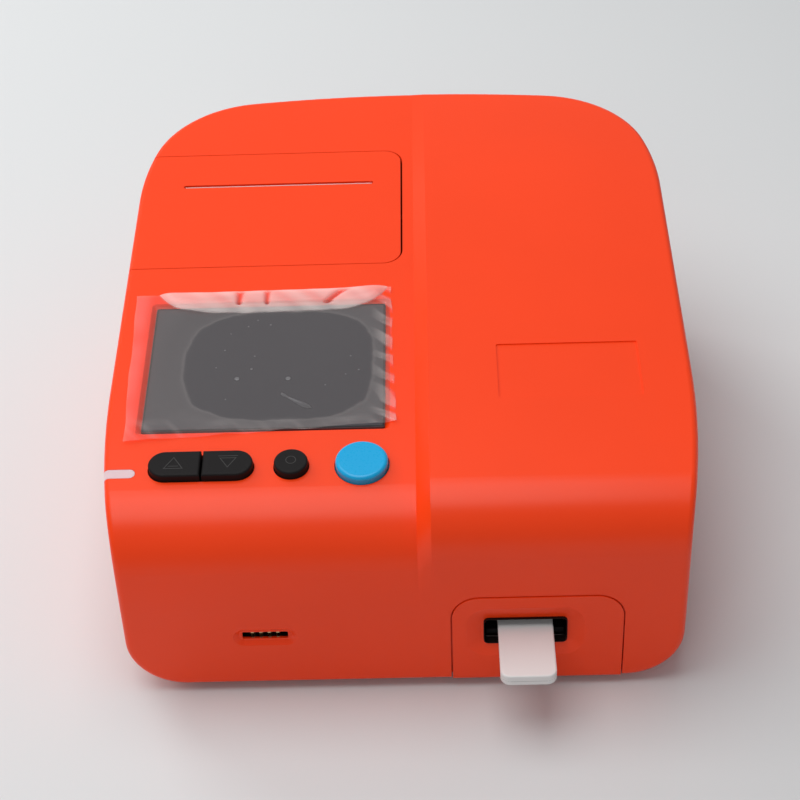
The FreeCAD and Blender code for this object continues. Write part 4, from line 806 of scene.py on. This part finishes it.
def build_slot_lip():
    """The white guide on the rear wall of the paper slot, which shows as a fine light line."""
    middle, half = PAPER_X, 43.4
    profile = ((217.16, -0.95), (216.98, -1.1), (216.92, -1.4), (216.92, -2.3), (217.16, -2.3))
    columns, run = 44, len(profile)
    vertices, faces = [], []
    for k in range(columns + 1):
        x = middle - half + 2 * half * k / columns
        for v, below in profile:
            level = CONSOLE_CORNER_Z + v * math.tan(CONSOLE_SLOPE) + below
            vertices.append(row(x, v, level))
    for k in range(columns):
        for j in range(run):
            a, b = k * run + j, k * run + (j + 1) % run
            faces.append((a, b, b + run, a + run))
    faces.append(tuple(reversed(range(run))))
    faces.append(tuple(range(columns * run, columns * run + run)))
    white = moulded_plastic("guide white", from_srgb(250, 240, 240), 0.5, 0.4, 0.004)
    return settle(add_mesh("paper_slot_guide", vertices, faces, white, False), "printer_lid")


def build_test_strip():
    """The absorbent strip that shows in the cassette's window."""
    end = CASSETTE_BACK - FRONT_Y
    outline = rounded_rectangle(SLOT_X, end - 26, 4.6, 15.6, 0.2, 2)
    vertices, faces = prism(outline, row, CASSETTE_SEAM + 0.82, CASSETTE_SEAM + 1.2)
    strip = paper("absorbent strip")
    return settle(add_mesh("test_strip", vertices, faces, strip, False), "drawer")


# ---------------------------------------------------------------- operators

class AnalyzerStep(bpy.types.Operator):
    """Base of the operators that dress the analyzer."""
    bl_options = {"REGISTER"}
    bl_idname = "analyzer.step"
    bl_label = "Dress the analyzer"

    def execute(self, context):
        self.build(context.scene)
        return {"FINISHED"}


class ANALYZER_OT_case(AnalyzerStep):
    """Give the moulded case, its lid and its slot panel their orange finish"""
    bl_idname = "analyzer.case"
    bl_label = "Case mouldings"

    def build(self, scene):
        case = scene.analyzer_case
        orange = moulded_plastic("case orange", tuple(case.orange), 0.34, case.grain / MM, 0.010, 0.02,
                                 sheen_level=0.36)
        dress(orange, "upper_cover", "printer_lid", "slot_panel")
        dress(moulded_plastic("underside grey", tuple(case.underside), 0.6, 0.9, 0.03), "base_tray")
        dress(rubber("foot rubber", from_srgb(34, 34, 35)), "rubber_feet")


class ANALYZER_OT_screen(AnalyzerStep):
    """Finish the window and the display, and lay the wrinkled film over them"""
    bl_idname = "analyzer.screen"
    bl_label = "Screen and film"

    def build(self, scene):
        settings = scene.analyzer_screen
        glass = tinted_window("tinted window", tuple(settings.window))
        dress(glass, "screen_window")
        build_window_face(glass)
        dress(moulded_plastic("display frame", from_srgb(70, 70, 74), 0.35, 0.5, 0.01), "lcd_module")
        build_screen_border(settings)
        build_film(settings)
        build_film_specks()


class ANALYZER_OT_keys(AnalyzerStep):
    """Finish the keys and the status light, and print the marks on the keys"""
    bl_idname = "analyzer.keys"
    bl_label = "Keys and status light"

    def build(self, scene):
        settings = scene.analyzer_keys
        dress(moulded_plastic("dark key", tuple(settings.dark), 0.5, 0.5, 0.014, 0.08, sheen_level=0.13),
              "up_key", "down_key", "select_key")
        dress(moulded_plastic("blue start key", tuple(settings.start), 0.3, 0.8, 0.006, 0.03, 0.4, 0.25),
              "start_key")
        dress(diffuser("milky light pipe"), "status_light_pipe")
        build_key_marks(settings)


class ANALYZER_OT_chip_port(AnalyzerStep):
    """Finish the chip port and its gold contacts"""
    bl_idname = "analyzer.chip_port"
    bl_label = "Chip port"

    def build(self, scene):
        dress(moulded_plastic("port black", from_srgb(16, 15, 15), 0.5, 0.5, 0.01), "id_port_shell")
        dress(brushed_metal("leaf contact gold", from_srgb(232, 206, 150), 0.26, (30, 1, 30), 400),
              "id_port_contacts")
        build_contact_tips()


class ANALYZER_OT_printer(AnalyzerStep):
    """Finish the printer, its paper and the bay under the lid"""
    bl_idname = "analyzer.printer"
    bl_label = "Printer and paper"

    def build(self, scene):
        dress(moulded_plastic("bay charcoal", from_srgb(58, 58, 60), 0.55, 0.8, 0.02), "paper_bay")
        dress(paper("paper roll", True), "paper_roll")
        dress(paper("paper end"), "paper_strip")
        dress(brushed_metal("printer sheet steel", from_srgb(168, 170, 174), 0.34), "printer_frame")
        dress(moulded_plastic("head ceramic", from_srgb(206, 204, 196), 0.3, 0.6, 0.006), "print_head")
        dress(rubber("platen rubber", from_srgb(40, 40, 42), 0.6), "platen_roller")
        dress(brushed_metal("ground shaft", from_srgb(186, 186, 190), 0.2), "platen_shaft", "lid_hinge_pin")
        dress(moulded_plastic("acetal white", from_srgb(228, 224, 212), 0.38, 0.6, 0.008), "platen_gear",
              "motor_pinion")
        dress(brushed_metal("motor can", from_srgb(150, 152, 156), 0.36, (1, 20, 20)), "printer_motor")
        build_slot_lip()


class ANALYZER_OT_drive(AnalyzerStep):
    """Finish the cassette drawer, its drive and the test cassette"""
    bl_idname = "analyzer.drive"
    bl_label = "Cassette drive"

    def build(self, scene):
        settings = scene.analyzer_drive
        dress(moulded_plastic("chassis black", from_srgb(14, 14, 15), 0.6, 0.7, 0.02, sheen_level=0.2),
              "tray_chassis")
        dress(moulded_plastic("carriage black", from_srgb(14, 13, 14), 0.6, 0.6, 0.015, sheen_level=0.15),
              "carriage")
        dress(brushed_metal("guide rod steel", from_srgb(190, 190, 194), 0.18, (30, 1, 30)), "guide_rods")
        dress(brushed_metal("nut brass", from_srgb(196, 160, 92), 0.28), "screw_nut")
        dress(brushed_metal("drive motor can", from_srgb(120, 122, 126), 0.4, (20, 1, 20)), "tray_motor")
        white = moulded_plastic("cassette white", tuple(settings.cassette), 0.42, 0.35, 0.008, 0.01)
        dress(white, "cassette_base", "cassette_top")
        build_lead_screw(settings)
        build_test_strip()
        build_slot_shade_lining()
        build_cassette_seam()
        build_carriage_lip()


class ANALYZER_OT_optics(AnalyzerStep):
    """Finish the reading head and its bracket"""
    bl_idname = "analyzer.optics"
    bl_label = "Reading optics"

    def build(self, scene):
        dress(brushed_metal("bracket sheet", from_srgb(160, 162, 166), 0.38, (20, 1, 20)), "optics_bracket")
        dress(moulded_plastic("optics black", from_srgb(22, 22, 24), 0.62, 0.7, 0.02), "optics_housing")
        dress(lens_glass("coated lens"), "optics_lens")


class ANALYZER_OT_electronics(AnalyzerStep):
    """Finish the boards, their parts, the sockets and the power rocker"""
    bl_idname = "analyzer.electronics"
    bl_label = "Boards and sockets"

    def build(self, scene):
        dress(circuit_board("green circuit board"), "main_board", "key_board", "optics_board")
        dress(moulded_plastic("chip epoxy", from_srgb(26, 26, 28), 0.5, 0.3, 0.01), "board_chips", "buzzer")
        dress(moulded_plastic("switch black", from_srgb(30, 30, 32), 0.45, 0.4, 0.01), "tact_switches")
        dress(moulded_plastic("socket black", from_srgb(24, 24, 26), 0.48, 0.5, 0.012), "dc_jack",
              "power_switch_frame")
        dress(moulded_plastic("rocker black", from_srgb(18, 18, 19), 0.28, 0.8, 0.006, 0.05, 0.2),
              "power_rocker")
        dress(brushed_metal("nickel shell", from_srgb(188, 188, 186), 0.24, (1, 20, 20)), "usb_socket",
              "serial_socket")
        build_socket_contacts()


class ANALYZER_OT_screws(AnalyzerStep):
    """Finish every screw"""
    bl_idname = "analyzer.screws"
    bl_label = "Screws"

    def build(self, scene):
        zinc = brushed_metal("zinc plated screw", from_srgb(172, 174, 178), 0.3, (1, 1, 1), 600)
        dress(zinc, "base_screws", "key_board_screws", "bay_screws", "board_screws", "motor_screws",
              "serial_jack_screws")


class ANALYZER_OT_stage(AnalyzerStep):
    """Set up the floor, the lights and the camera"""
    bl_idname = "analyzer.stage"
    bl_label = "Stage"

    def build(self, scene):
        build_stage(scene, scene.analyzer_studio)


def add_light(name, place, target, size, power, mirrored):
    data = bpy.data.lights.new(name, "AREA")
    data.shape = "RECTANGLE"
    data.size, data.size_y = size
    data.energy = power
    light = bpy.data.objects.new(name, data)
    bpy.context.scene.collection.objects.link(light)
    light.location = place
    light.visible_glossy = mirrored
    light.rotation_euler = (Vector(target) - Vector(place)).to_track_quat("-Z", "Y").to_euler()
    return light


def build_stage(scene, studio):
    floor = add_mesh("studio_floor", [(-6, -6, 0), (6, -6, 0), (6, 6, 0), (-6, 6, 0)], [(0, 1, 2, 3)],
                     floor_finish("studio floor", tuple(studio.floor)), False)
    world = bpy.data.worlds.new("studio air")
    world.use_nodes = True
    world.node_tree.nodes["Background"].inputs["Color"].default_value = (0.95, 0.96, 1.0, 1)
    world.node_tree.nodes["Background"].inputs["Strength"].default_value = studio.air
    scene.world = world
    for name, place, size, power in (("overhead_light", (-0.25, 0.0, 1.25), (1.2, 1.0), studio.overhead),
                                     ("left_light", (-1.4, 0.2, 0.9), (0.8, 0.8), studio.left),
                                     ("corner_light", (-1.0, 1.1, 0.9), (0.8, 0.8), studio.corner),
                                     ("back_light", (-0.1, 1.5, 0.7), (1.4, 0.6), studio.back),
                                     ("front_light", (-0.3, -1.4, 1.0), (0.8, 0.6), studio.front)):
        if power:
            add_light(name, place, (0, 0, 0.05), size, power, name in ("overhead_light", "back_light"))
    data = bpy.data.cameras.new("studio_camera")
    data.sensor_width = 36.0
    data.lens = 84.88
    data.clip_start, data.clip_end = 0.01, 30.0
    camera = bpy.data.objects.new("studio_camera", data)
    scene.collection.objects.link(camera)
    right = Vector((0.99948486, 0.00210119, -0.03202486))
    up = Vector((0.02404103, 0.61203092, 0.79046833))
    ahead = Vector((-0.02126113, 0.79083104, -0.61166513))
    turn = Matrix((right, up, -ahead)).transposed()
    camera.matrix_world = Matrix.Translation(Vector((0.016704, -0.668637, 0.565991))) @ turn.to_4x4()
    scene.camera = camera
    scene.view_settings.view_transform = "Standard"
    scene.view_settings.look = "None"


STEPS = (ANALYZER_OT_case, ANALYZER_OT_screen, ANALYZER_OT_keys, ANALYZER_OT_chip_port,
         ANALYZER_OT_printer, ANALYZER_OT_drive, ANALYZER_OT_optics, ANALYZER_OT_electronics,
         ANALYZER_OT_screws, ANALYZER_OT_stage)


class ANALYZER_PT_panel(bpy.types.Panel):
    """The analyzer's steps and sizes"""
    bl_idname = "ANALYZER_PT_panel"
    bl_label = "Analyzer"
    bl_space_type = "VIEW_3D"
    bl_region_type = "UI"
    bl_category = "Analyzer"

    def draw(self, context):
        layout = self.layout
        for step in STEPS:
            layout.operator(step.bl_idname)
        for name, group in SETTINGS:
            box = layout.box()
            values = getattr(context.scene, name)
            for key in group.__annotations__:
                box.prop(values, key)


SETTINGS = (("analyzer_case", CaseSettings), ("analyzer_screen", ScreenSettings),
            ("analyzer_keys", KeySettings), ("analyzer_drive", DriveSettings),
            ("analyzer_studio", StudioSettings))


def register():
    for name, group in SETTINGS:
        bpy.utils.register_class(group)
        setattr(bpy.types.Scene, name, PointerProperty(type=group))
    for step in STEPS:
        bpy.utils.register_class(step)
    bpy.utils.register_class(ANALYZER_PT_panel)


def unregister():
    bpy.utils.unregister_class(ANALYZER_PT_panel)
    for step in reversed(STEPS):
        bpy.utils.unregister_class(step)
    for name, group in reversed(SETTINGS):
        delattr(bpy.types.Scene, name)
        bpy.utils.unregister_class(group)


def main():
    register()
    for step in STEPS:
        family, action = step.bl_idname.split(".")
        getattr(getattr(bpy.ops, family), action)()


if __name__ == "__main__":
    main()
